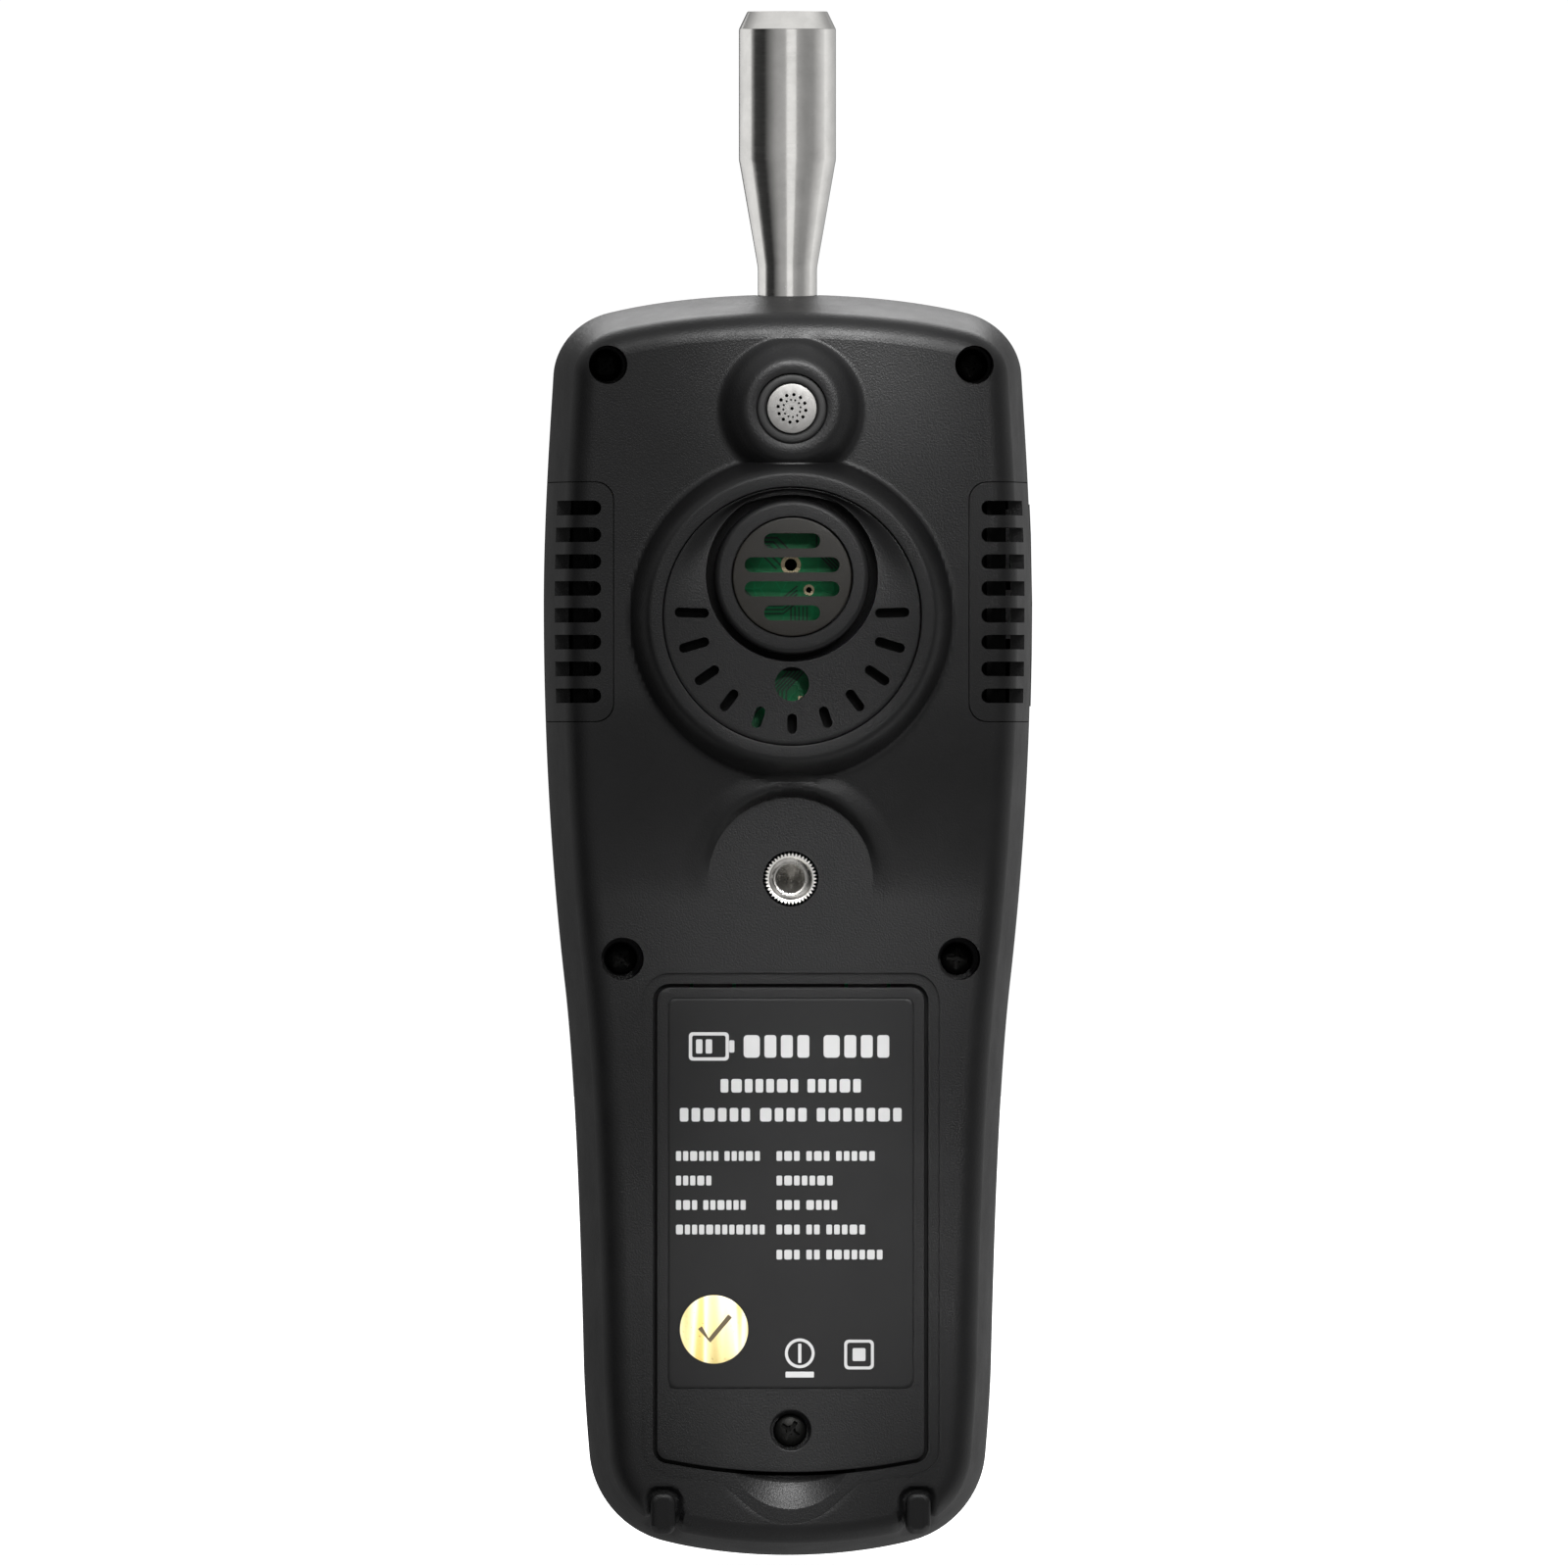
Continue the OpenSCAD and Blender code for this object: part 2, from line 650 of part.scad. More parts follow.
module buzzer() {
    color([0.1, 0.1, 0.1]) pipe(6, 1, board_y + 1.6, board_y + 7.5, 0, 93.5);
}

// Measuring train: chamber, laser, detector, pump and filter
module optical_chamber() {
    color([0.12, 0.12, 0.12]) difference() {
        box([-17, -31, 152], [17, -11, 184]);
        translate([0, -21, 168]) rotate([0, 90, 0]) cylinder(r = 8, h = 22, center = true);
        translate([0, probe_y, 150]) cylinder(r = 1.7, h = 40);
        translate([0, probe_y, 181]) cylinder(r = 3.1, h = 10);
        translate([5, -21, 168]) rotate([0, 90, 0]) cylinder(r = 4.6, h = 20);
        translate([-12, probe_y, 150]) cylinder(r = 1.2, h = 12);
    }
}
module chamber_lid() {
    color([0.2, 0.2, 0.2]) difference() {
        box([-17, -10.9, 152], [17, -9, 184]);
        for (x = [-14, 14], z = [155, 181]) bar(1.2, -12, -8, x, z);
    }
}
module laser_module() {
    color("goldenrod") translate([12, -21, 168]) rotate([0, 90, 0]) {
        cylinder(r = 4.5, h = 12);
        translate([0, 0, 12]) cylinder(r = 5.5, h = 5);
    }
}
module detector_board() {
    color("green") difference() {
        box([-18.8, -30, 157], [-17.1, -12, 179]);
        translate([-20, -21, 168]) rotate([0, 90, 0]) cylinder(r = 1, h = 5);
    }
}
module pump_motor() {
    color("silver") translate([-13, -21, 102]) {
        cylinder(r = 10, h = 22);
        translate([0, 0, -1.5]) cylinder(r = 3, h = 1.5);
    }
}
module pump_head() {
    color([0.15, 0.15, 0.15]) {
        box([-24, -31, 124.1], [-2, -11, 136]);
        for (p = [[-12, 1.5, 3], [-6, 1.3, 2]]) translate([p[0], -20, 136]) cylinder(r = p[1], h = p[2]);
    }
}
module filter_capsule() {
    color("white") translate([13.5, -20, 107]) {
        cylinder(r = 9.5, h = 20);
        translate([0, 0, 20]) cylinder(r = 7, h = 2);
        translate([0, 0, 22]) cylinder(r = 1.5, h = 4);
        translate([0, 0, -1.5]) cylinder(r = 1.3, h = 1.5);
    }
}
module tube_ring(r) {
    difference() {
        circle(r);
        circle(r - 1);
    }
}
module inlet_sleeve() {
    color([0.85, 0.85, 0.85]) translate([0, probe_y, 184.1]) difference() {
        cylinder(r = 4.6, h = 5.5);
        translate([0, 0, -1]) cylinder(r = 3.05, h = 8);
    }
}
module pump_tube() {
    color([0.85, 0.85, 0.85]) translate([-12, probe_y, 136.1]) difference() {
        cylinder(r = 2.55, h = 15.8);
        translate([0, 0, -1]) cylinder(r = 1.55, h = 18);
    }
}
module filter_tube() {
    radius = 9.75;
    color([0.85, 0.85, 0.85]) translate([-6 + radius, -20, 136.1]) rotate([90, 0, 0])
        rotate_extrude(angle = 180) translate([radius, 0]) tube_ring(2.55);
    color([0.85, 0.85, 0.85]) translate([13.5, -20, 129.1]) difference() {
        cylinder(r = 2.55, h = 7);
        translate([0, 0, -1]) cylinder(r = 1.55, h = 9);
    }
}
module exhaust_tube() {
    color([0.85, 0.85, 0.85]) translate([20.5, -20, 106.9]) rotate([90, 180, 0])
        rotate_extrude(angle = 90) translate([7, 0]) tube_ring(2.55);
}

// Front: display and keys
module display_window() {
    color([0.05, 0.05, 0.06]) slab(window_y, window_y + 1.45) translate([0, window_z]) rounded(window_w, window_h, 3);
}
module display_module() {
    color([0.3, 0.32, 0.35]) slab(-44.4, -41.4) translate([0, window_z - 1]) rounded(60, 43, 0.5);
}
module display_gasket() {
    color([0.1, 0.1, 0.1]) difference() {
        slab(-45.05, -44.45) translate([0, window_z - 1]) rounded(59, 42, 0.5);
        slab(-46, -44) translate([0, window_z - 1]) rounded(52, 38, 0.5);
    }
}

// Keys: name, x, height, width, height of the cap, outline
key_list = [
    ["key_left", -soft_key_x, soft_key_z, 13.5, 6.5],
    ["key_middle", 0, soft_key_z, 13.5, 6.5],
    ["key_right", soft_key_x, soft_key_z, 13.5, 6.5],
    ["key_up", 0, pad_key_z + 14, 17, 8],
    ["key_run", 0, pad_key_z, 14, 14],
    ["key_down", 0, pad_key_z - 14, 17, 8],
    ["key_power", -17.5, pad_key_z, 8, 17],
    ["key_escape", 17.5, pad_key_z, 8, 17]
];
module key_hole(k) {
    slab(-60, -30) translate([k[1], k[2]]) pill(k[3] + 0.6, k[4] + 0.6);
}
module key(k) {
    face = front_at(k[2]);
    color([0.25, 0.25, 0.26]) {
        slab(face - 1.1, face + wall + 0.2) translate([k[1], k[2]]) pill(k[3], k[4]);
        slab(face + wall + 0.2, face + wall + 1.1) translate([k[1], k[2]]) pill(k[3] + 1.6, k[4] + 1.6);
        bar(1.8, face + wall + 1.1, board_y - 1.1 - key_travel, k[1], k[2]);
    }
}
module keypad_mat() {
    color([0.75, 0.75, 0.75]) for (k = key_list)
        turned([[0, board_y - 0.9], [2, board_y - 0.9], [3.2, board_y], [0, board_y]], k[1], k[2]);
}

placed() rear_case();
placed() front_case();
placed() case_screws();
placed() tripod_insert();
placed() vent_grille(-1);  // left_vent_grille
placed() vent_grille(1);  // right_vent_grille
placed() vent_plate();
placed() vent_cap();
placed() gas_sensor();
placed() gas_sensor_grille();
placed() gas_sensor_gasket();
placed() battery_cover();
placed() cover_label();
placed() inspection_sticker();
placed() cover_screw();
placed() cover_screw_insert();
placed() battery_tray();
placed() battery_cells();
placed() battery_wrap();
placed() battery_lead();
placed() battery_plug();
placed() rear_feet();
placed() port_flap();
placed() usb_socket();
placed() power_jack();
placed() card_slot();
placed() memory_card();
placed() port_board();
placed() sampling_probe();
placed() inlet_spigot();
placed() probe_o_rings();
placed() main_board();
placed() sensor_board();
placed() board_screws();
placed() optical_chamber();
placed() chamber_lid();
placed() laser_module();
placed() detector_board();
placed() pump_motor();
placed() pump_head();
placed() filter_capsule();
placed() inlet_sleeve();
placed() pump_tube();
placed() filter_tube();
placed() exhaust_tube();
placed() display_window();
placed() display_module();
placed() display_gasket();
placed() keypad_mat();
placed() buzzer();
for (k = key_list) placed() key(k);
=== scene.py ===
import math

import bmesh
import bpy
import numpy as np
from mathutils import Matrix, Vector


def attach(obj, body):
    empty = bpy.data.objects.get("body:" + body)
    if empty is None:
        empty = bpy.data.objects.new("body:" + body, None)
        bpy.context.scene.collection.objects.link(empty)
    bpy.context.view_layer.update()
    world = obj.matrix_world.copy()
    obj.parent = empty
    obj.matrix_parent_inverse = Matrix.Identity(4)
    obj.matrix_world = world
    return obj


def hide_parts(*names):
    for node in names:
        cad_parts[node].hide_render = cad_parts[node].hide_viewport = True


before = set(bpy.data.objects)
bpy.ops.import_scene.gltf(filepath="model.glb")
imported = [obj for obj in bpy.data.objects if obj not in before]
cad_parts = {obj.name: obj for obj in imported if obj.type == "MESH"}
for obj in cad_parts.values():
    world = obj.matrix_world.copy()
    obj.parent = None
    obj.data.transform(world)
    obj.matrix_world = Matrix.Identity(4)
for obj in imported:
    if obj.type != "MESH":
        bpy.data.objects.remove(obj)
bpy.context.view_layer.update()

SOCKET = 105.2
pi = math.pi

# ---- sizes, in millimetres
# Heights are measured from the case's lowest point. +Y is out of the back; the parting plane is at PART.
WALL = 2.2
PART = -20.0
GRIP, HEAD = -0.3, 3.2
GRIP_F, HEAD_F = -40.0, -47.3
RIM = HEAD + 5.0
OUTLINE = [
    ((0, 196), (10, 196), (20, 195.1), (28, 193.1)),
    ((28, 193.1), (32.5, 191.95), (36.1, 188.2), (36.4, 183.5)),
    ((36.4, 183.5), (36.7, 178), (37.9, 162), (37.9, 148)),
    ((37.9, 148), (37.9, 126), (36.6, 106), (34.6, 88.7)),
    ((34.6, 88.7), (33, 74.7), (32.2, 52), (31.7, 31)),
    ((31.7, 31), (31.6, 26), (31.2, 20.5), (30.8, 15.8)),
    ((30.8, 15.8), (30.3, 9.5), (25.8, 4), (19.5, 2.3)),
    ((19.5, 2.3), (14, 0.85), (7, 0), (0, 0)),
]
PLATE_Z, CAP_Z, SENSOR_Z = 145.9, 152.0, 178.1
SENSOR_FACE = 7.2
STATUS_Z = 135.4
SLOT_TURN = 18.4
SCREWS = [(s * x, z, r) for x, z, r in ((28.4, 184.9, 3.0), (26.1, 92.8, 3.3)) for s in (-1, 1)]
SCREW_SEAT, WELL_LIP = -12.0, -2.45
SCOOP, SCOOP_R = (0, 18.8, 17.2), 22.0
FEET = (19.8, 6.7)
COVER_W, COVER_TOP, COVER_BOTTOM, COVER_BOW = 41.9, 88.5, 13.0, 94.0
COVER_SCREW_Z, COVER_SEAT = 19.65, GRIP - 3.07
LABEL_Z = 56.4
STICKER = (11.9, 35.3)
VENT_Z, VENT_X, VENT_H = 148.15, 27.5, 37.3
GRILLE_SLOTS, GRILLE_PITCH = 8, 4.16
BOARD_Y = 0.4
WINDOW = (57.0, 47.0, 158.0)
WINDOW_Y = HEAD_F - 0.9
KEY_STEM = -36.4
KEYS = {
    "key_left": (-17.5, 122, 13.5, 6.5), "key_middle": (0, 122, 13.5, 6.5),
    "key_right": (17.5, 122, 13.5, 6.5),
    "key_up": (0, 78, 17, 8), "key_run": (0, 64, 14, 14), "key_down": (0, 50, 17, 8),
    "key_power": (-17.5, 64, 8, 17), "key_escape": (17.5, 64, 8, 17),
}


def ease(t):
    u = np.clip(t, 0, 1)
    return u * u * (3 - 2 * u)


def mix(a, b, t):
    return a + (b - a) * t


def back_at(z):
    return mix(GRIP, HEAD, ease((z - 102) / 32))


def front_at(z):
    return mix(GRIP_F, HEAD_F, ease((z - 86) / 28))


# ---- mesh helpers
def placed(name, data):
    ob = bpy.data.objects.new(name, data)
    bpy.context.scene.collection.objects.link(ob)
    return ob


def make(name, verts, faces, smooth=35):
    """A mesh in millimetres above the base; finish_piece() moves it into the frame."""
    me = bpy.data.meshes.new(name)
    me.from_pydata([tuple(map(float, v)) for v in verts], [], [tuple(map(int, f)) for f in faces])
    me.validate()
    ob = placed(name, me)
    bm = bmesh.new()
    bm.from_mesh(me)
    bmesh.ops.recalc_face_normals(bm, faces=bm.faces)
    bm.to_mesh(me)
    bm.free()
    ob["smooth"] = smooth
    return ob


def loft(name, rings, caps=(True, True), smooth=35, closed=False):
    """Rings of the same number of points, joined in order, and the last to the first if closed."""
    n = len(rings[0])
    verts = [p for r in rings for p in r]
    faces = []
    for j in range(len(rings) if closed else len(rings) - 1):
        here, there = j * n, (j + 1) % len(rings) * n
        for i in range(n):
            k = (i + 1) % n
            faces.append((here + i, here + k, there + k, there + i))
    if caps[0]:
        faces.append(tuple(range(n - 1, -1, -1)))
    if caps[1]:
        faces.append(tuple(range((len(rings) - 1) * n, len(rings) * n)))
    return make(name, verts, faces, smooth)


def turned(name, profile, x=0.0, z=0.0, segs=128, axis="Y", y=0.0, smooth=35):
    """A profile of (radius, along) turned round an axis; it may start and end on the axis."""
    verts, rows = [], []
    for r, h in profile:
        row = []
        for i in range(segs if r > 1e-6 else 1):
            a = 2 * pi * i / segs
            c, s = r * math.cos(a), r * math.sin(a)
            row.append(len(verts))
            if axis == "Y":
                verts.append((x + c, h, z + s))
            elif axis == "Z":
                verts.append((x + c, y + s, h))
            else:
                verts.append((h, y + c, z + s))
        rows.append(row)
    faces = []
    for a, b in zip(rows, rows[1:]):
        for i in range(segs):
            k = (i + 1) % segs
            if len(a) == 1 and len(b) == 1:
                break
            if len(a) == 1:
                faces.append((a[0], b[k], b[i]))
            elif len(b) == 1:
                faces.append((a[i], a[k], b[0]))
            else:
                faces.append((a[i], a[k], b[k], b[i]))
    if profile[0][0] > 1e-6 and profile[-1][0] > 1e-6:
        a, b = rows[-1], rows[0]
        for i in range(segs):
            k = (i + 1) % segs
            faces.append((a[i], a[k], b[k], b[i]))
    return make(name, verts, faces, smooth)


def arc(cx, cz, r, a0, a1, n):
    return [(cx + r * math.cos(math.radians(mix(a0, a1, i / n))),
             cz + r * math.sin(math.radians(mix(a0, a1, i / n)))) for i in range(n + 1)]


def rounded(w, h, r, cx=0.0, cz=0.0, n=10):
    w, h = w / 2, h / 2
    r = min(r, w - 1e-4, h - 1e-4)
    return (arc(cx + w - r, cz + h - r, r, 0, 90, n) + arc(cx - w + r, cz + h - r, r, 90, 180, n)
            + arc(cx - w + r, cz - h + r, r, 180, 270, n) + arc(cx + w - r, cz - h + r, r, 270, 360, n))


def spin(points, deg, cx, cz):
    c, s = math.cos(math.radians(deg)), math.sin(math.radians(deg))
    return [(cx + (x - cx) * c - (z - cz) * s, cz + (x - cx) * s + (z - cz) * c) for x, z in points]


def rect(x0, z0, x1, z1):
    return [(x0, z0), (x1, z0), (x1, z1), (x0, z1)]


def prism(name, points, y0, y1):
    return loft(name, [[(x, y0, z) for x, z in points], [(x, y1, z) for x, z in points]])


def cylinder(name, r, y0, y1, x=0.0, z=0.0, segs=96):
    return turned(name, [(0, y0), (r, y0), (r, y1), (0, y1)], x, z, segs)


def washer(name, r0, r1, y0, y1, x, z, segs):
    return turned(name, [(r0, y0), (r0, y1), (r1, y1), (r1, y0)], x, z, segs)


def cut(ob, cutters, op="DIFFERENCE"):
    cutters = cutters if isinstance(cutters, list) else [cutters]
    for c in cutters:
        m = ob.modifiers.new("b", "BOOLEAN")
        m.solver = "MANIFOLD"
        m.operation = op
        m.object = c
        dg = bpy.context.evaluated_depsgraph_get()
        me = bpy.data.meshes.new_from_object(ob.evaluated_get(dg))
        ob.modifiers.clear()
        ob.data = me
        bpy.data.objects.remove(c)
    return ob


def copy(ob, name):
    new = placed(name, ob.data.copy())
    new["smooth"] = ob["smooth"]
    return new


def join(name, obs, smooth=35):
    bm = bmesh.new()
    for o in obs:
        bm.from_mesh(o.data)
    me = bpy.data.meshes.new(name)
    bm.to_mesh(me)
    bm.free()
    for o in obs:
        bpy.data.objects.remove(o)
    ob = placed(name, me)
    ob["smooth"] = smooth
    return ob


def finish_piece(ob, body, material, nodes=()):
    me = ob.data
    n = len(me.vertices)
    co = np.zeros(n * 3, np.float32)
    me.vertices.foreach_get("co", co)
    co = co.reshape(-1, 3).astype(float)
    co[:, 2] -= SOCKET
    me.vertices.foreach_set("co", (co / 1000).astype(np.float32).ravel())
    me.shade_smooth()
    me.set_sharp_from_angle(angle=math.radians(ob["smooth"]))
    me.update()
    me.materials.clear()
    me.materials.append(material)
    even = ob.modifiers.new("even", "WEIGHTED_NORMAL")
    even.keep_sharp = True
    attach(ob, body)
    if nodes:
        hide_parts(*nodes)
    return ob


# ---- materials
def node_material(name):
    m = bpy.data.materials.new(name)
    m.use_nodes = True
    nt = m.node_tree
    bsdf = nt.nodes["Principled BSDF"]
    return m, nt, bsdf


def coords(nt, scale=(1000, 1000, 1000)):
    tc = nt.nodes.new("ShaderNodeTexCoord")
    mp = nt.nodes.new("ShaderNodeMapping")
    mp.inputs["Scale"].default_value = scale
    nt.links.new(tc.outputs["Object"], mp.inputs["Vector"])
    return mp.outputs["Vector"]


def noise(nt, vec, scale, detail=3.0, rough=0.5):
    n = nt.nodes.new("ShaderNodeTexNoise")
    n.inputs["Scale"].default_value = scale
    n.inputs["Detail"].default_value = detail
    n.inputs["Roughness"].default_value = rough
    nt.links.new(vec, n.inputs["Vector"])
    return n.outputs["Fac"]


def remap(nt, value, a, b, c, d):
    r = nt.nodes.new("ShaderNodeMapRange")
    for k, v in (("From Min", a), ("From Max", b), ("To Min", c), ("To Max", d)):
        r.inputs[k].default_value = v
    nt.links.new(value, r.inputs["Value"])
    return r.outputs["Result"]


def ramp(nt, value, stops):
    r = nt.nodes.new("ShaderNodeValToRGB")
    r.color_ramp.elements[0].position = stops[0][0]
    r.color_ramp.elements[0].color = (*stops[0][1], 1)
    r.color_ramp.elements[1].position = stops[1][0]
    r.color_ramp.elements[1].color = (*stops[1][1], 1)
    for pos, col in stops[2:]:
        e = r.color_ramp.elements.new(pos)
        e.color = (*col, 1)
    nt.links.new(value, r.inputs["Fac"])
    return r.outputs["Color"]


def bump(nt, height, strength, distance, normal=None):
    b = nt.nodes.new("ShaderNodeBump")
    b.inputs["Strength"].default_value = strength
    b.inputs["Distance"].default_value = distance
    nt.links.new(height, b.inputs["Height"])
    if normal is not None:
        nt.links.new(normal, b.inputs["Normal"])
    return b.outputs["Normal"]


def plastic(name, colour, rough=0.5, grain=0.35, grain_scale=3.2, specular=0.5, spread=0.2):
    """Moulded plastic with a spark-eroded grain, faint handling marks and a slightly uneven tone."""
    m, nt, b = node_material(name)
    v = coords(nt)
    tone = noise(nt, v, 0.06, 4.0, 0.6)
    lo = tuple(c * (1 - spread) for c in colour)
    hi = tuple(c * (1 + spread) for c in colour)
    nt.links.new(ramp(nt, tone, [(0.35, lo), (0.65, hi)]), b.inputs["Base Color"])
    grain_n = noise(nt, v, grain_scale, 2.0, 0.6)
    nt.links.new(remap(nt, noise(nt, v, 0.11, 5.0, 0.7), 0.3, 0.7, rough - 0.05, rough + 0.06),
                 b.inputs["Roughness"])
    nt.links.new(bump(nt, grain_n, grain, 0.00006), b.inputs["Normal"])
    b.inputs["Specular IOR Level"].default_value = specular
    return m


def metal(name, colour, rough=0.25, stretch=(1, 1, 1), scale=1.0, strength=0.15, spread=0.08):
    """Metal with fine tool marks along one direction and a little tarnish."""
    m, nt, b = node_material(name)
    b.inputs["Metallic"].default_value = 1.0
    v = coords(nt, tuple(1000 * s for s in stretch))
    marks = noise(nt, v, scale, 3.0, 0.65)
    w = coords(nt)
    cloud = noise(nt, w, 0.25, 4.0, 0.6)
    lo = tuple(c * (1 - spread) for c in colour)
    hi = tuple(c * (1 + spread) for c in colour)
    nt.links.new(ramp(nt, cloud, [(0.3, lo), (0.7, hi)]), b.inputs["Base Color"])
    nt.links.new(remap(nt, marks, 0.3, 0.7, rough - 0.05, rough + 0.08), b.inputs["Roughness"])
    nt.links.new(bump(nt, marks, strength, 0.00003), b.inputs["Normal"])
    return m


CASE = plastic("case_black", (0.0055, 0.0055, 0.0057), 0.40, 0.8, 3.4, 0.2, 0.14)
GRILLE = plastic("grille_black", (0.0055, 0.0055, 0.0057), 0.39, 0.7, 3.4, 0.2, 0.14)
CAP = plastic("cap_grey", (0.0100, 0.0088, 0.0066), 0.40, 0.4, 3.4, 0.22, 0.1)
LABEL = plastic("label_film", (0.0046, 0.0046, 0.0048), 0.38, 0.15, 5.0, 0.2, 0.08)
RUBBER = plastic("rubber", (0.006, 0.006, 0.006), 0.6, 0.35, 2.0, 0.35)
PRINT = plastic("white_print", (0.56, 0.56, 0.56), 0.55, 0.1, 4.0, 0.2, 0.03)
# near-black for the dark inner parts; also used for sheets that paint the shade seen through the round vent's
# slots and groove and behind the side grilles
DARK_AND_SHADE = plastic("inner_black_and_painted_shade", (0.0025, 0.0025, 0.0025), 0.7, 0.3, 2.0, 0.12)
TRAY = plastic("tray_black", (0.006, 0.006, 0.006), 0.6, 0.3, 2.0, 0.15)
NYLON = plastic("white_nylon", (0.6, 0.59, 0.55), 0.45, 0.15, 2.0, 0.4, 0.05)
WRAP = plastic("blue_sleeve", (0.02, 0.09, 0.35), 0.28, 0.25, 0.6, 0.5)
WIRE = plastic("red_wire", (0.4, 0.02, 0.015), 0.35, 0.1, 2.0, 0.5, 0.06)
TUBE = plastic("silicone_tube", (0.55, 0.54, 0.5), 0.35, 0.15, 1.5, 0.5, 0.05)
SILICONE = plastic("silicone_grey", (0.3, 0.3, 0.3), 0.5, 0.15, 1.5, 0.4, 0.05)
KEYCAP = plastic("key_rubber", (0.03, 0.03, 0.032), 0.55, 0.3, 2.5, 0.4)
SCREEN = plastic("display_panel", (0.02, 0.027, 0.035), 0.18, 0.03, 1.0, 0.5)
STEEL = metal("turned_steel", (0.64, 0.63, 0.61), 0.15, (0.12, 0.12, 3.0), 2.2, 0.10)
FITTING = metal("fitting_steel", (0.55, 0.55, 0.54), 0.28, (0.3, 0.3, 2.0), 2.0, 0.2)
NICKEL = metal("nickel_plate", (0.88, 0.86, 0.82), 0.2, (1, 1, 1), 1.2, 0.06)
# painted shade: the insert's bore gets a darker metal than its face, standing for the shade inside the hole
BORE_SHADE = metal("tapped_bore_shade", (0.42, 0.41, 0.39), 0.22, (1, 1, 1), 1.2, 0.06)
ZINC = metal("zinc_screw", (0.32, 0.32, 0.33), 0.35, (1, 1, 1), 2.0, 0.3)
BLACKENED = metal("blackened_screw", (0.012, 0.012, 0.0115), 0.48, (1, 1, 1), 3.0, 0.5)
CAN = metal("plated_can", (0.55, 0.55, 0.56), 0.3, (1, 1, 0.15), 1.5, 0.2)
BRASS = metal("brass", (0.66, 0.48, 0.2), 0.28, (1, 1, 1), 1.5, 0.25)
DISC = metal("bright_disc", (0.165, 0.162, 0.157), 0.45, (1, 1, 1), 2.0, 0.12, 0.05)


def foil_material():
    m, nt, b = node_material("gold_foil")
    b.inputs["Metallic"].default_value = 0.85
    v = coords(nt)
    band = noise(nt, coords(nt, (1000, 1000, 60)), 0.23, 1.5, 0.5)
    golds = [(0.34, (0.42, 0.30, 0.07)), (0.44, (0.88, 0.74, 0.38)), (0.5, (0.95, 0.88, 0.66)),
             (0.56, (0.80, 0.60, 0.20)), (0.68, (0.50, 0.36, 0.09))]
    nt.links.new(ramp(nt, band, golds), b.inputs["Base Color"])
    fine = noise(nt, v, 2.5, 4.0, 0.6)
    nt.links.new(remap(nt, fine, 0.3, 0.7, 0.26, 0.42), b.inputs["Roughness"])
    nt.links.new(bump(nt, fine, 0.25, 0.00004), b.inputs["Normal"])
    return m


def board_material():
    m, nt, b = node_material("solder_mask")
    v = coords(nt)
    wave = nt.nodes.new("ShaderNodeTexVoronoi")
    wave.feature = "DISTANCE_TO_EDGE"
    wave.distance = "CHEBYCHEV"
    wave.inputs["Scale"].default_value = 0.42
    nt.links.new(v, wave.inputs["Vector"])
    edge = remap(nt, wave.outputs["Distance"], 0.02, 0.06, 1.0, 0.0)
    greens = [(0.2, (0.0006, 0.135, 0.042)), (0.8, (0.0008, 0.165, 0.054))]
    nt.links.new(ramp(nt, edge, greens), b.inputs["Base Color"])
    nt.links.new(remap(nt, noise(nt, v, 0.6, 3.0), 0.3, 0.7, 0.32, 0.44), b.inputs["Roughness"])
    b.inputs["Specular IOR Level"].default_value = 0.15
    nt.links.new(bump(nt, edge, 0.25, 0.00005), b.inputs["Normal"])
    return m


def glass_material():
    m, nt, b = node_material("clear_lens")
    v = coords(nt)
    b.inputs["Base Color"].default_value = (0.012, 0.013, 0.015, 1)
    nt.links.new(remap(nt, noise(nt, v, 0.15, 4.0), 0.3, 0.7, 0.03, 0.07), b.inputs["Roughness"])
    nt.links.new(bump(nt, noise(nt, v, 0.3, 2.0), 0.05, 0.00002), b.inputs["Normal"])
    b.inputs["Coat Weight"].default_value = 0.3
    return m


FOIL, BOARD, GLASS = foil_material(), board_material(), glass_material()
TRACE = plastic("board_trace", (0.0, 0.028, 0.011), 0.35, 0.05, 2.0, 0.2, 0.1)
GOLD = metal("gold_pad", (0.24, 0.20, 0.13), 0.25, (1, 1, 1), 3.0, 0.1)
INK = plastic("dark_ink", (0.10, 0.07, 0.03), 0.5, 0.1, 2.0)


# ---- the case
def bezier(p, t):
    return tuple((1 - t) ** 3 * p[0][k] + 3 * t * (1 - t) ** 2 * p[1][k] + 3 * t * t * (1 - t) * p[2][k]
                 + t ** 3 * p[3][k] for k in (0, 1))


def outline(h):
    """Right half of the body's outline as h + 1 points, denser down the sides than across the ends."""
    raw = np.array([bezier(s, i / 80) for s in OUTLINE for i in range(80)] + [(0.0, 0.0)])
    step = np.diff(raw, axis=0)
    length = np.hypot(step[:, 0], step[:, 1])
    weight = length * (0.55 + 0.45 * np.abs(step[:, 1]) / np.maximum(length, 1e-9))
    at = np.concatenate([[0], np.cumsum(weight)])
    want = np.linspace(0, at[-1], h + 1)
    half = np.stack([np.interp(want, at, raw[:, 0]), np.interp(want, at, raw[:, 1])], 1)
    ring = np.concatenate([half, half[-2:0:-1] * [-1, 1]])
    d = np.roll(ring, -1, 0) - np.roll(ring, 1, 0)
    d /= np.linalg.norm(d, axis=1)[:, None]
    return ring, np.stack([-d[:, 1], d[:, 0]], 1)


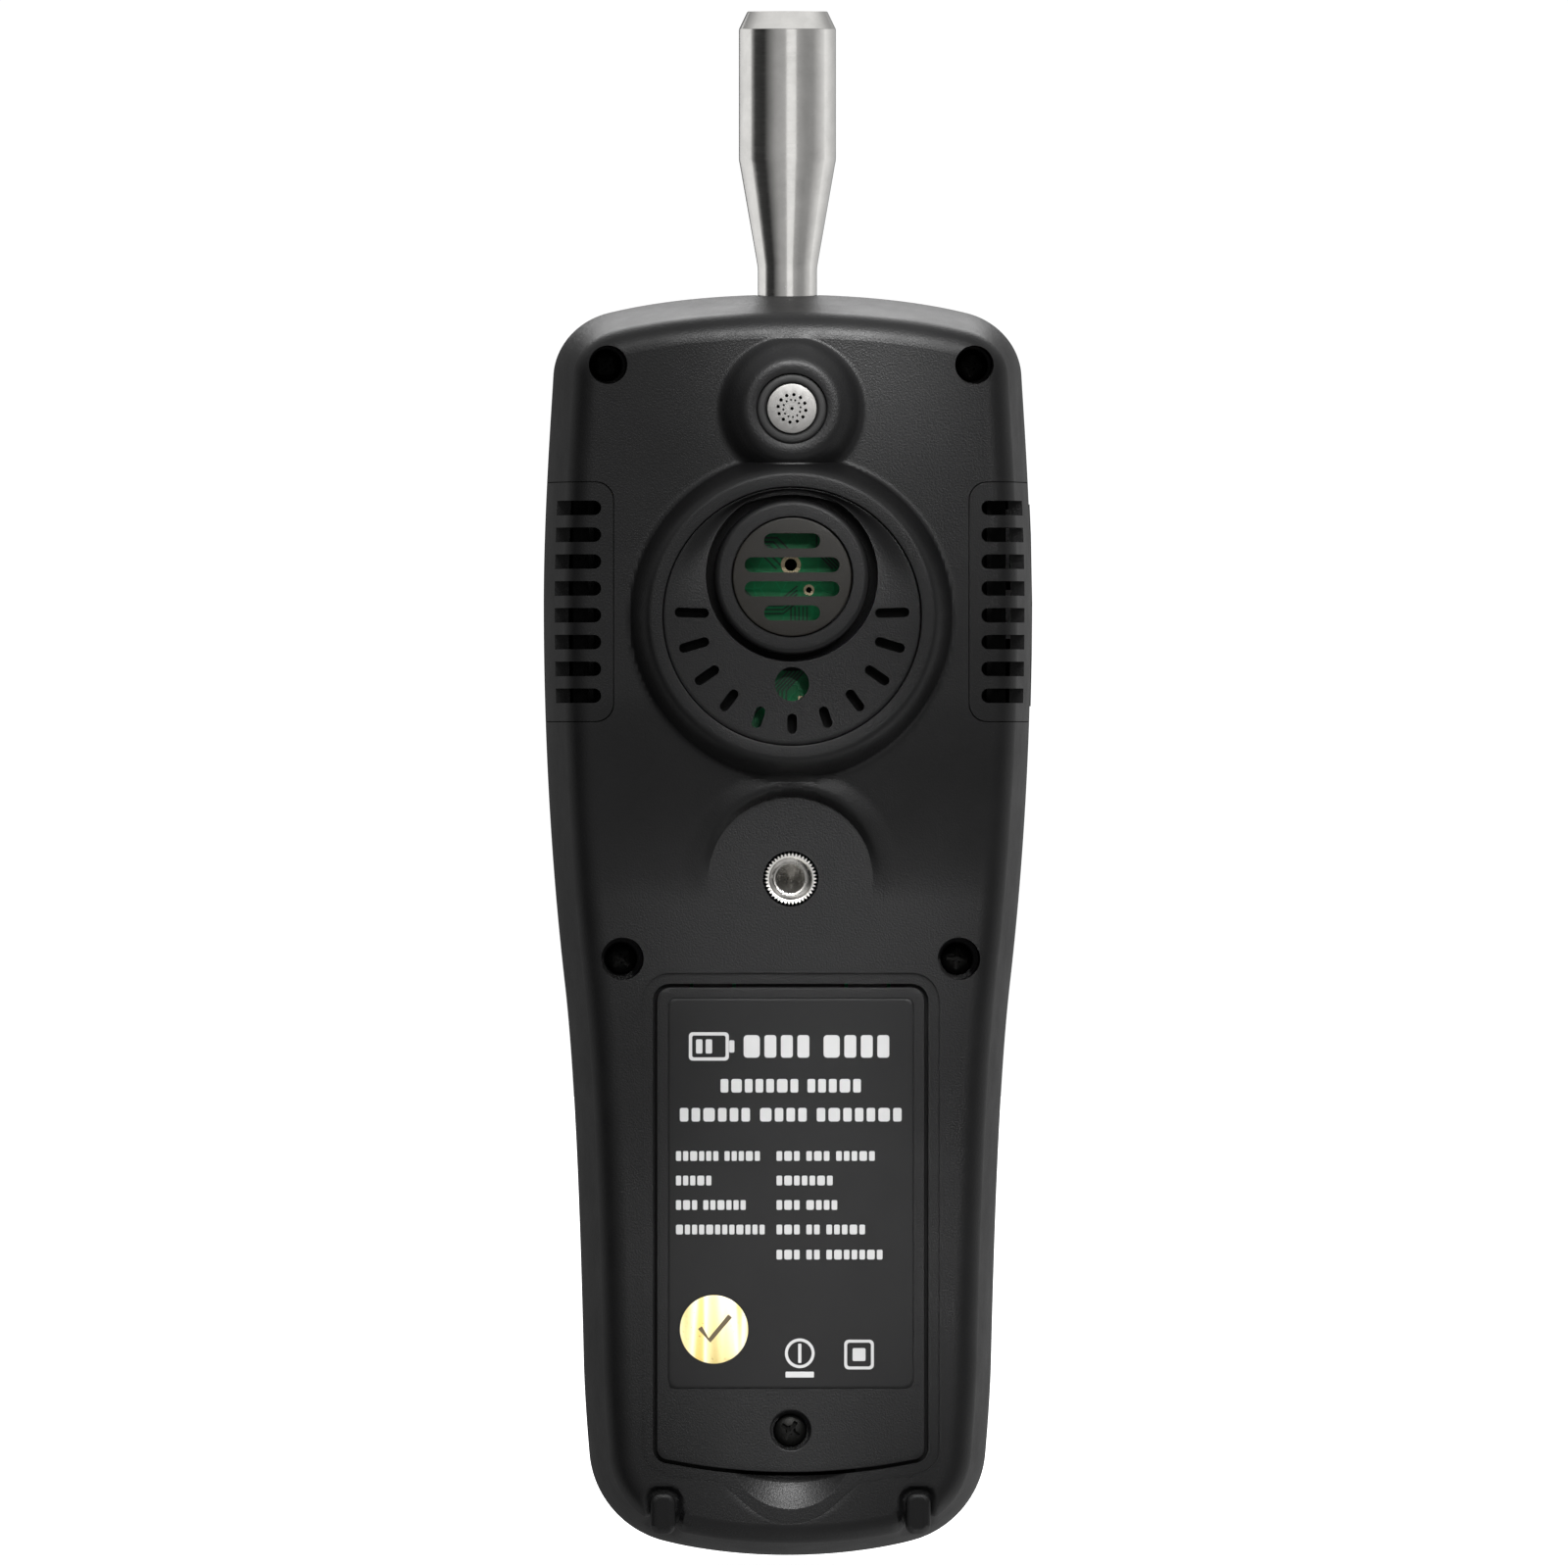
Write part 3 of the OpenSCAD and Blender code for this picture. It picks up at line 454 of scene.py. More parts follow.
def half_body(name, side, h=470, cols=118, relief=None, skin=0.0, draft_steps=5, edge_steps=9):
    """Half of the case, back (side 1) or front (-1): walls, a rounded edge and a face on a grid of rows.

    skin is how far inside the surface it lies, and relief gives how far the face is raised at (x, z).
    """
    draft, edge, face_at = (2.6, 4.0, back_at) if side > 0 else (2.0, 5.0, front_at)
    ring, nor = outline(h)
    n = len(ring)
    trim = np.where(nor[:, 1] > 0, 0.06, -0.24) * nor[:, 1] ** 2

    def level(inset, share, angle):
        push = inset * (1 + trim) + skin
        p = ring - nor * push[:, None]
        face = face_at(p[:, 1])
        low = PART - side * 1.0 if share == 0 and skin > 0 else PART
        y = mix(low, face - side * edge, share) + side * (edge - skin) * math.sin(angle)
        out = np.stack([p[:, 0], y, p[:, 1]], 1)
        if relief is not None and share == 1:
            d = relief(out[:, 0], out[:, 2])
            out[:, 0] += nor[:, 0] * math.cos(angle) * d
            out[:, 2] += nor[:, 1] * math.cos(angle) * d
            out[:, 1] += side * (0.3 + 0.7 * math.sin(angle)) * d
        return out

    seam = [] if skin > 0 else [level(0.3, 0, 0)]
    first = 0.0 if skin > 0 else 0.017
    rows = seam + [level(draft * s ** 1.6, s, 0) for s in np.linspace(first, 1, draft_steps)]
    rows += [level(draft + (edge - skin) * (1 - math.cos(a)), 1, a)
             for a in np.linspace(0, pi / 2, edge_steps + 1)[1:]]
    faces = []
    i = np.arange(n)
    k = (i + 1) % n
    for j in range(len(rows) - 1):
        faces += np.stack([j * n + i, j * n + k, (j + 1) * n + k, (j + 1) * n + i], 1).tolist()
    for i in range(h):
        a, b, c, d = i, i + 1, (n - i - 1) % n, (n - i) % n
        faces.append([a, b, c] if i == 0 else [a, b, d] if i == h - 1 else [a, b, c, d])
    top = (len(rows) - 1) * n
    inner_rows = {}
    base = len(rows) * n
    flat = ring - nor * ((draft + (edge - skin)) * (1 + trim) + skin)[:, None]
    for i in range(1, h):
        x0, x1, z = flat[i, 0], flat[n - i, 0], flat[i, 1]
        xs = np.linspace(x0, x1, cols + 1)[1:-1]
        y = np.full(cols - 1, float(face_at(z))) - side * skin
        if relief is not None:
            y = y + side * relief(xs, np.full(cols - 1, z))
        rows.append(np.stack([xs, y, np.full(cols - 1, z)], 1))
        inner_rows[i] = [top + i] + list(range(base, base + cols - 1)) + [top + n - i]
        base += cols - 1
    r = inner_rows[1]
    faces += [[top, r[k], r[k + 1]] for k in range(cols)]
    for i in range(1, h - 1):
        p, q = np.array(inner_rows[i]), np.array(inner_rows[i + 1])
        faces += np.stack([p[:-1], q[:-1], q[1:], p[1:]], 1).tolist()
    r = inner_rows[h - 1]
    faces += [[top + h, r[k + 1], r[k]] for k in range(cols)]
    return make(name, np.concatenate(rows), faces)


def smooth_max(a, b, k):
    t = np.clip(0.5 + 0.5 * (a - b) / k, 0, 1)
    return b + (a - b) * t + k * t * (1 - t)


def box_distance(x, z, cx, cz, w, h, r):
    qx, qz = np.abs(x - cx) - w / 2 + r, np.abs(z - cz) - h / 2 + r
    return np.hypot(np.maximum(qx, 0), np.maximum(qz, 0)) + np.minimum(np.maximum(qx, qz), 0) - r


def rounded_off(r, r0, r1, height):
    """A step of the given height, rounded over from r0 and steepest at its foot r1; it runs on below zero."""
    t = np.maximum((r - r0) / (r1 - r0), 0)
    return np.where(t < 1, height * (1 - t ** 1.7), -1.7 * height * (t - 1))


def rim_height(r):
    return rounded_off(r, 21.9, 25.0, 5.0)


def boss_height(r):
    return rounded_off(r, 6.9, 10.9, 4.0)


def back_relief(x, z):
    base = back_at(z)
    rv = np.hypot(x, z - PLATE_Z)
    rs = np.hypot(x, z - SENSOR_Z)
    hv = rim_height(rv) - 0.3 * (1 - ease((rv - 24.8) / 0.6))
    hs = boss_height(rs) - 0.07 * (1 - ease((rs - 8.1) / 0.6))
    rise = HEAD + smooth_max(hv, hs, 0.5) - base
    d = np.where((rv < 31) | (rs < 14), smooth_max(rise, np.zeros_like(base), 1.0), 0.0)
    rp = np.hypot(x, z - SOCKET)
    t = np.clip((rp - 12.7) / 1.3, 0, 1)
    lip = 0.5 * ease((rp - 12.7) / 1.5) * (1 - ease((rp - 14.1) / 3.2))
    d = d + (GRIP - base) * (0.7 * (1 - t) ** 2 - lip)
    rho = (x - SCOOP[0]) ** 2 + (z - SCOOP[2]) ** 2
    ys = SCOOP[1] - np.sqrt(np.maximum(SCOOP_R ** 2 - rho, 0.01))
    ys = np.where(rho < SCOOP_R ** 2 - 1, ys, 20)
    dip = -smooth_max(-(ys - base), -np.zeros_like(base), 0.9)
    d = d + np.where((dip < 0) & (rho < 420) & (z < 30), dip, 0)
    for s in (-1, 1):
        q = box_distance(x, z, s * FEET[0], FEET[1], 5.3, 7.9, 2.0)
        d = d - 1.15 * (1 - ease((q + 0.35) / 0.9)) * ease((z - 2.6) / 2.6) * (
            1 - 0.75 * ease((s * x - 21.3) / 1.4))
    return d


def cover_outline(grow, scooped=False, n=10):
    """The battery cover's outline, or the step round it, whose lower edge dips round the finger scoop."""
    hw, top = COVER_W / 2 + grow, COVER_TOP + grow
    rt, rb, low = 2.2 + grow, 2.0 + grow, COVER_BOTTOM - grow
    side_low = low + (hw - rb) ** 2 / (2 * COVER_BOW)
    xs = np.linspace(-(hw - rb), hw - rb, 161 if scooped else 41)[1:-1]
    zs = low + xs * xs / (2 * COVER_BOW)
    if scooped:
        near = np.clip(np.abs(xs) / 13.2, 0, 1) ** 1.25
        zs = np.minimum(zs, mix(12.2, 5.2, 0.5 + 0.5 * np.cos(pi * near)))
    return (arc(hw - rt, top - rt, rt, 0, 90, n) + arc(rt - hw, top - rt, rt, 90, 180, n)
            + arc(rb - hw, side_low + rb, rb, 180, 265, n) + list(zip(xs, zs))
            + arc(hw - rb, side_low + rb, rb, 275, 360, n))


def vent_panel(side, shrink):
    """A side grille's panel: rounded towards the middle of the case and running off past its edge."""
    x0, h, r = VENT_X + shrink, VENT_H - 2 * shrink, 2.8
    z0, z1 = VENT_Z - h / 2, VENT_Z + h / 2
    pts = arc(x0 + r, z1 - r, r, 180, 90, 10) + [(60, z1), (60, z0)] + arc(x0 + r, z0 + r, r, 270, 180, 10)
    return [(side * x, z) for x, z in pts]


def inlet_bore():
    """The stepped hole for the inlet spigot, half in each shell."""
    steps = [(0, 185), (3.02, 185), (3.02, 194.6), (4.9, 194.6), (4.9, 206), (0, 206)]
    return turned("inlet", steps, 0, 0, 64, "Z", PART)


def build_grille(shell, side):
    """A slotted corner panel cut from the shell, and the baffle behind its slots, made near-black to paint
    the shade seen through them.
    """
    name = "left" if side < 0 else "right"
    panel = copy(shell, name + "_grille_piece")
    cut(panel, prism("p", vent_panel(side, 0.13), PART + 1.7, 20), "INTERSECT")
    for i in range(GRILLE_SLOTS):
        z = VENT_Z + (i - (GRILLE_SLOTS - 1) / 2) * GRILLE_PITCH
        pts = arc(30.6, z, 1.13, 90, 270, 10) + [(50, z - 1.13), (50, z + 1.13)]
        cut(panel, prism("s", [(side * x, q) for x, q in pts], -7, 20))
    x0, x1 = sorted((side * 27.7, side * 33.6))
    # painted shade: the baffle and rib are made near-black to stand for the shade behind the slots
    baffle = prism("baffle", rect(x0, VENT_Z - 18.2, x1, VENT_Z + 18.2), -8.6, -7.6)
    rib = prism("rib", rect(side * 30.5, VENT_Z - 17, side * 31.3, VENT_Z + 17), -7.6, -3.2)
    finish_piece(join(name + "_vent_baffle_shade", [baffle, rib]), "body", DARK_AND_SHADE)
    cut(shell, prism("w", vent_panel(side, 0), PART + 1.5, 20))
    return panel


def build_rear():
    h, cols = ((470, 118))
    outer = half_body("rear_case_piece", 1, h, cols, back_relief, 0.0, 5, 9)
    inner = half_body("inner", 1, 90, 12, None, WALL, 4, 4)
    dish = [(15.4 * math.sin(a), 9.3 - 15.4 * math.cos(a)) for a in np.linspace(0.05, 1.5, 24)]
    cut(inner, turned("cup", [(0, -6.1)] + dish + [(0, 8.2)], 0, 15.2, 64))
    cut(outer, inner)
    grilles = [build_grille(outer, side) for side in (-1, 1)]
    cutters = [
        prism("band", cover_outline(2.1, True), GRIP - 0.62, 6),
        prism("opening", cover_outline(0.42), -8, 6),
        cylinder("pad", 12.75, GRIP, 12, 0, SOCKET, 192),
        cylinder("plate", 20.9, -6, 20, 0, PLATE_Z, 192),
        cylinder("sensor", 6.2, -6, 20, 0, SENSOR_Z, 128),
        cylinder("insert", 4.3, -9.5, 3, 0, SOCKET, 128),
    ]
    cutters += [cylinder("well", r, -25, 12, x, z, 64) for x, z, r in SCREWS]
    cutters.append(inlet_bore())
    cut(outer, cutters)
    y, f = RIM, SENSOR_FACE
    rim = [(18.85, 1.0), (18.85, y - 3), (20.05, y - 3), (20.05, y - 0.22), (20.12, y - 0.08), (20.27, y),
           (21.3, y), (21.7, y - 0.01)]
    rim += [(r, HEAD + rim_height(r)) for r in np.linspace(22.0, 25.2, 13)] + [(25.2, 1.0)]
    boss = [(5.45, -1), (5.45, f - 0.22), (5.52, f - 0.07), (5.68, f), (6.7, f)]
    boss += [(r, HEAD + boss_height(r)) for r in (7.1, 7.5, 7.9, 8.3)]
    boss += [(8.7, HEAD + boss_height(8.7) - 0.05), (8.7, -1)]
    extra = [turned("rim", rim, 0, PLATE_Z, 256), turned("boss", boss, 0, SENSOR_Z, 160)]
    for x, z, r in SCREWS:
        sleeve = [(r, SCREW_SEAT), (r, WELL_LIP), (4.6, WELL_LIP), (4.6, PART), (1.7, PART),
                  (1.7, SCREW_SEAT)]
        extra.append(turned("boss", sleeve, x, z, 64))
    extra.append(turned("socket", [(4.3, -9), (4.3, WELL_LIP), (7, WELL_LIP), (7, -11), (0, -11), (0, -9)],
                        0, SOCKET, 96))
    finish_piece(join("rear_case_piece", [outer] + extra, 32), "body", CASE, ["rear_case"])
    for panel, node in zip(grilles, ("left_vent_grille", "right_vent_grille")):
        finish_piece(panel, "body", GRILLE, [node])


def front_relief(x, z):
    q = box_distance(x, z, 0, WINDOW[2], WINDOW[0] + 5, WINDOW[1] + 5, 5)
    return 0.9 * (1 - ease((q + 0.2) / 1.4))


def build_front():
    rows, cols = ((380, 90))
    outer = half_body("front_case_piece", -1, rows, cols, front_relief, 0.0, 5, 7)
    inner = half_body("inner", -1, 90, 12, None, WALL, 4, 4)
    cut(outer, inner)
    w, h, zc = WINDOW
    cutters = [
        prism("lens", rounded(w + 0.4, h + 0.4, 3.2, 0, zc), -60, WINDOW_Y + 1.5),
        prism("view", rounded(51, 39, 1, 0, zc - 1), -60, HEAD_F + 6),
    ]
    for x, z, kw, kh in KEYS.values():
        hole = rounded(kw + 0.6, kh + 0.6, min(kw, kh) / 2 + 0.3, x, z, 16)
        cutters.append(prism("hole", hole, -60, -30))
    cutters.append(inlet_bore())
    pocket = prism("pocket", rect(-42, 131.7, -30, 163.7), -34.3, -21.7)
    cut(pocket, half_body("keep", -1, 120, 12, None, 1.5, 4, 4))
    cutters += [
        pocket,
        prism("usb", rect(-40, 142.3, -30, 150.3), -30.7, -27.3),
        turned("jack", [(0, -40), (3.1, -40), (3.1, -28), (0, -28)], 0, 137.3, 48, "X", -29),
        prism("card", rect(-40, 151.4, -30, 162.8), -30, -28.2),
    ]
    cut(outer, cutters)
    outer["smooth"] = 32
    finish_piece(outer, "body", CASE, ["front_case"])


build_rear()
build_front()


# ---- round vent
def slot_points(i, half=5):
    length = 3.1 + 2.2 * (abs(i) / half) ** 1.2
    return spin(rounded(1.5, length, 0.74, 0, PLATE_Z - 18.2 + length / 2, 8), SLOT_TURN * i, 0, PLATE_Z)


def build_plate():
    """The slotted plate: its face dips towards the eccentric ring's top, so it is lofted in polar steps."""
    face, segs, steps = RIM - 0.7, 192, 26
    angles = [2 * pi * i / segs for i in range(segs)]

    def circle(r, y, z):
        return [(r * math.cos(a), y, z + r * math.sin(a)) for a in angles]

    rings = [circle(13.25, RIM - 3, CAP_Z + 0.2), circle(13.25, face - 1.9, CAP_Z + 0.2)]
    for t in np.linspace(0, 1, steps + 1):
        ring = []
        for (ex, _, ez), (ox, _, oz) in zip(circle(13.35, 0, CAP_Z + 0.2), circle(19.75, 0, PLATE_Z)):
            z = mix(ez, oz, t)
            dip = 0.95 * ease((z - 146) / 16) * (1 - ease(t * 0.9))
            ring.append((mix(ex, ox, t), float(face - dip - 0.1), z))
        rings.append(ring)
    rings += [circle(19.93, face - 0.16, PLATE_Z), circle(19.98, face - 0.3, PLATE_Z),
              circle(19.98, RIM - 3, PLATE_Z)]
    plate = loft("vent_plate_piece", rings, (False, False), closed=True)
    for i in range(-5, 6):
        cut(plate, prism("s", slot_points(i), 0, 20))
    cut(plate, cylinder("h", 2.64, 0, 20, 0, STATUS_Z, 64))
    y = RIM
    ring = turned("ring", [
        (8.45, y - 3), (8.45, y - 2.2), (9.35, y - 2.2), (9.35, y - 0.3), (9.4, y - 0.1), (9.52, y),
        (11.1, y), (11.45, y - 0.07), (11.75, y - 0.27), (11.95, y - 0.6), (12.04, y - 1.05),
        (12.05, y - 1.6), (12.05, 3.4), (8.9, 3.4), (8.9, y - 3)], 0, CAP_Z, 192)
    # painted shade: a near-black sheet under the ring's groove stands for the shade down in the groove
    groove_shade = washer("vent_groove_shade_sheet", 8.95, 14.6, 3.2, 3.38, 0, CAP_Z, 96)
    finish_piece(groove_shade, "body", DARK_AND_SHADE)
    # painted shade: a near-black sheet behind every slot but one stands for the shade that hides the board
    # there
    slot_shade = washer("vent_slot_shade_sheet", 12.7, 18.7, 3.4, 3.9, 0, PLATE_Z, 160)
    gap = spin(rect(-1.6, PLATE_Z - 25, 1.6, PLATE_Z - 8), SLOT_TURN, 0, PLATE_Z)
    cut(slot_shade, [prism("c", gap, 0, 20), cylinder("c", 3.4, 0, 20, 0, STATUS_Z, 32),
                 prism("c", rect(-25, PLATE_Z + 2.5, 25, 180), 0, 20)])
    finish_piece(slot_shade, "body", DARK_AND_SHADE)
    plate = join("vent_plate_piece", [plate, ring], 32)
    finish_piece(plate, "body", GRILLE, ["vent_plate"])
    cap = turned("vent_cap_piece", [
        (0, y - 2.2), (9.22, y - 2.2), (9.22, y - 0.62), (9.15, y - 0.42), (8.95, y - 0.33),
        (5, y - 0.27), (0, y - 0.25)], 0, CAP_Z, 160)
    for dz, w in ((-5.58, 8.7), (-1.86, 14.7), (1.86, 14.7), (5.58, 8.7)):
        cut(cap, prism("s", rounded(w, 2.35, 1.17, 0, CAP_Z + dz, 12), 0, 20))
    finish_piece(cap, "body", CAP, ["vent_cap"])


build_plate()


# ---- gas sensor
def build_sensor():
    f = SENSOR_FACE
    disc = turned("gas_sensor_disc", [
        (0, f - 1.6), (3.88, f - 1.6), (3.88, f - 0.5), (3.8, f - 0.38), (3.65, f - 0.35), (0, f - 0.35)],
        0, SENSOR_Z, 96)
    holes = [(0.0, 0.0, 0.27)]
    for i in range(12):
        a, b = math.radians(30 * i + 8), math.radians(30 * i + 23)
        holes.append((2.15 * math.cos(a), 2.15 * math.sin(a), 0.27))
        holes.append((1.35 * math.cos(b), 1.35 * math.sin(b), 0.17))
    for x, z, r in holes:
        cut(disc, cylinder("h", r, 3, 9, x, SENSOR_Z + z, 14))
    finish_piece(disc, "body", DISC, ["gas_sensor_grille"])
    t = f - 0.6
    gasket = turned("gas_sensor_ring", [
        (3.93, t - 1), (5.42, t - 1), (5.42, t - 0.25), (5.3, t - 0.1), (5.05, t), (4.4, t), (4.2, t - 0.06),
        (4.0, t - 0.25), (3.93, t - 0.45)], 0, SENSOR_Z, 128)
    finish_piece(gasket, "body", RUBBER, ["gas_sensor_gasket"])


build_sensor()


# ---- sensor board seen through the slots
def ribbon(points, width, y0, y1):
    """A flat track along a line of (x, z) points."""
    pts = [Vector((p[0], 0, p[1])) for p in points]
    left, right = [], []
    for i, p in enumerate(pts):
        d = (pts[min(i + 1, len(pts) - 1)] - pts[max(i - 1, 0)]).normalized()
        s = Vector((-d.z, 0, d.x)) * width / 2
        left.append(p + s)
        right.append(p - s)
    loop = left + right[::-1]
    return prism("t", [(v.x, v.z) for v in loop], y0, y1)


def build_board():
    y = BOARD_Y
    board = prism("sensor_board_piece", rounded(46, 44, 2, 0, 148), -1.2, y)
    cut(board, [cylinder("h", 0.95, -3, 2, 0, 153.9, 40), cylinder("h", 0.45, -3, 2, -2.8, 150, 24),
                cylinder("h", 1.2, -3, 2, 20.5, 129.5, 32), cylinder("h", 1.2, -3, 2, -20.5, 129.5, 32)])
    finish_piece(board, "body", BOARD, ["sensor_board"])
    tracks = []
    for k in range(5):
        o = 0.62 * k
        for width, points in (
                (0.30, [(9, 155.6 + o), (4.6 - o, 155.6 + o), (2.2 - o, 153.2 + o)]),
                (0.28, [(8.6, 151.4 - o), (6 + o * 0.4, 148.8 - o), (1.2, 148.8 - o), (-1, 150.6 - o)]),
                (0.30, [(-4 - o, 159), (-4 - o, 155.8), (-6.5 - o, 153.3)]),
                (0.28, [(-5 + o, 141), (-2.5 + o, 143.5), (-2.5 + o, 147.4)]),
                (0.30, [(3.2 - o, 131.5), (3.2 - o, 134.4), (0.4 - o, 137.4)]),
                (0.28, [(9 - o, 130), (6 - o, 133), (6 - o, 140)])):
            tracks.append(ribbon(points, width, y, y + 0.04))
    finish_piece(join("board_tracks", tracks), "body", TRACE)
    pads = [washer("p", 0.96, 1.55, y, y + 0.06, 0, 153.9, 48),
            washer("p", 0.46, 0.85, y, y + 0.06, -2.8, 150, 32)]
    for x, z in ((5.2, 146.1), (-6.1, 146.6), (7.1, 157.9), (-1.5, 133.2), (1.9, 138.1)):
        pads.append(washer("p", 0.15, 0.4, y, y + 0.05, x, z, 20))
    finish_piece(join("board_pads", pads), "body", GOLD)
    head = [(0, -2.35), (0.9, -2.3), (1.6, -2.1), (2, -1.75), (2, -1.2), (1.1, -1.2), (1.1, 2.0), (0.6, 2.1),
            (0, 2.1)]
    heads = [turned("s", head, x, 129.5, 40) for x in (-20.5, 20.5)]
    finish_piece(join("board_screws_piece", heads), "body", ZINC, ["board_screws"])


build_board()


# ---- tripod insert
def build_insert():
    teeth, per = 42, 8
    n = teeth * per

    def knurl(k, r, depth):
        a = 2 * pi * k / n
        wave = 0.5 + 0.5 * math.cos(2 * pi * k / per)
        return a, r - depth * (1 - wave)

    def row(r, depth, y):
        around = [knurl(k, r, depth) for k in range(n)]
        return [(q * math.cos(a), y, SOCKET + q * math.sin(a)) for a, q in around]

    ob = loft("tripod_insert_piece", [row(*p) for p in (
        (3.18, 0, -8.8), (4.18, 0.5, -8.8), (4.18, 0.5, -0.3), (4.12, 0.5, -0.1), (3.98, 0.46, 0.0),
        (3.45, 0, 0.0), (3.33, 0, -0.05), (3.24, 0, -0.2), (3.18, 0, -0.3))], (False, False), 28)
    rings = [row(3.17, 0, -8.7), row(3.17, 0, -0.29), row(2.75, 0, -0.62)]
    pitch, depth = 1.27, 0.42
    for y in np.linspace(-0.66, -3.9, 44):
        ring = []
        for k in range(n):
            a = 2 * pi * k / n
            ph = (y / pitch + k / n) % 1.0
            r = 2.6 + depth * (1 - abs(2 * ph - 1)) * min(1.0, (-y - 0.4) / 0.8)
            ring.append((r * math.cos(a), float(y), SOCKET + r * math.sin(a)))
        rings.append(ring)
    rings += [row(2.3, 0, -3.95), row(2.2, 0, -4.05), row(0.05, 0, -5.3)]
    # the bore takes the darker metal, which paints the shade inside the hole
    bore = loft("tripod_insert_bore", rings, (True, True), 28)
    finish_piece(bore, "body", BORE_SHADE)
    finish_piece(ob, "body", NICKEL, ["tripod_insert"])


build_insert()


# ---- screws
def screw(name, x, z, seat, r, top, turn):
    """A domed head with a Phillips recess, standing on seat."""
    prof = [(0, seat), (r, seat), (r, seat + top * 0.45), (r * 0.93, seat + top * 0.7),
            (r * 0.7, seat + top * 0.9), (r * 0.35, seat + top * 0.99), (0, seat + top)]
    s = turned(name, prof, x, z, 64)
    for a in (turn, turn + 90):
        arm = spin(rounded(r * 1.25, r * 0.27, 0.06, x, z), a, x, z)
        cut(s, prism("c", arm, seat + top * 0.35, seat + top + 1))
    cut(s, turned("c", [(0, seat + top * 0.3), (r * 0.3, seat + top * 0.8), (r * 0.3, seat + top + 1),
                        (0, seat + top + 1)], x, z, 32))
    return s


def build_screws():
    heads = []
    for x, z, r in SCREWS:
        heads.append(screw("s", x, z, SCREW_SEAT, 2.5, 1.6, 20 + math.copysign(17, x) + z))
        heads.append(turned("k", [(0, -34), (1.5, -33.2), (1.5, SCREW_SEAT), (0, SCREW_SEAT)], x, z, 24))
    finish_piece(join("case_screws_piece", heads), "body", BLACKENED, ["case_screws"])
    seat = COVER_SEAT
    shank = [(0, seat - 4), (1.2, seat - 3.7), (1.2, seat), (0, seat)]
    cover_screw = join("cover_screw_piece", [screw("s", 0, COVER_SCREW_Z, seat, 2.55, 1.9, 33),
                                             turned("k", shank, 0, COVER_SCREW_Z, 24)])
    finish_piece(cover_screw, "cover_screw", BLACKENED, ["cover_screw"])


build_screws()


# ---- battery cover, label and sticker
def build_cover():
    top, under = GRIP, GRIP - WALL
    levels = [(-0.15, under), (-0.15, top - 0.5), (-0.16, top - 0.16), (-0.22, top - 0.04), (-0.34, top),
              (-1.2, top)]
    ob = loft("battery_cover_piece", [[(x, y, z) for x, z in cover_outline(g)] for g, y in levels])
    well = [(0, top - 3.2), (3.05, top - 3.2), (3.05, top - 0.25), (3.15, top - 0.1), (3.35, top + 0.01),
            (3.35, top + 2), (0, top + 2)]
    cut(ob, [prism("label", rounded(38.2, 60.7, 1.2, 0, LABEL_Z), top - 0.35, top + 2),
             turned("well", well, 0, COVER_SCREW_Z, 80)])
    boss = [(1.6, top - 4.6), (1.6, top - 3.1), (3.05, top - 3.1), (3.05, under + 0.02), (4, under + 0.02),
            (4, top - 4.6)]
    parts = [ob, turned("boss", boss, 0, COVER_SCREW_Z, 64)]
    for s in (-1, 1):
        x0, x1 = s * 12 - 3, s * 12 + 3
        parts.append(prism("hook", rect(x0, 84.5, x1, 87.6), under - 1.5, under + 0.05))
        parts.append(prism("hook", rect(x0, 86.5, x1, 90.0), under - 1.5, under - 0.6))
        parts.append(prism("rib", rect(s * 17.4, 30, s * 18.6, 80), under - 1, under + 0.02))
    ob = join("battery_cover_piece", parts, 32)
    finish_piece(ob, "cover", CASE, ["battery_cover"])
    levels = [(37.9, 60.4, top - 0.35), (37.9, 60.4, top - 0.14), (37.75, 60.25, top - 0.1),
              (37, 59.5, top - 0.1)]
    rings = [[(x, y, z) for x, z in rounded(w, h, 1.05, 0, LABEL_Z)] for w, h, y in levels]
    finish_piece(loft("cover_label_piece", rings), "cover", LABEL, ["cover_label"])


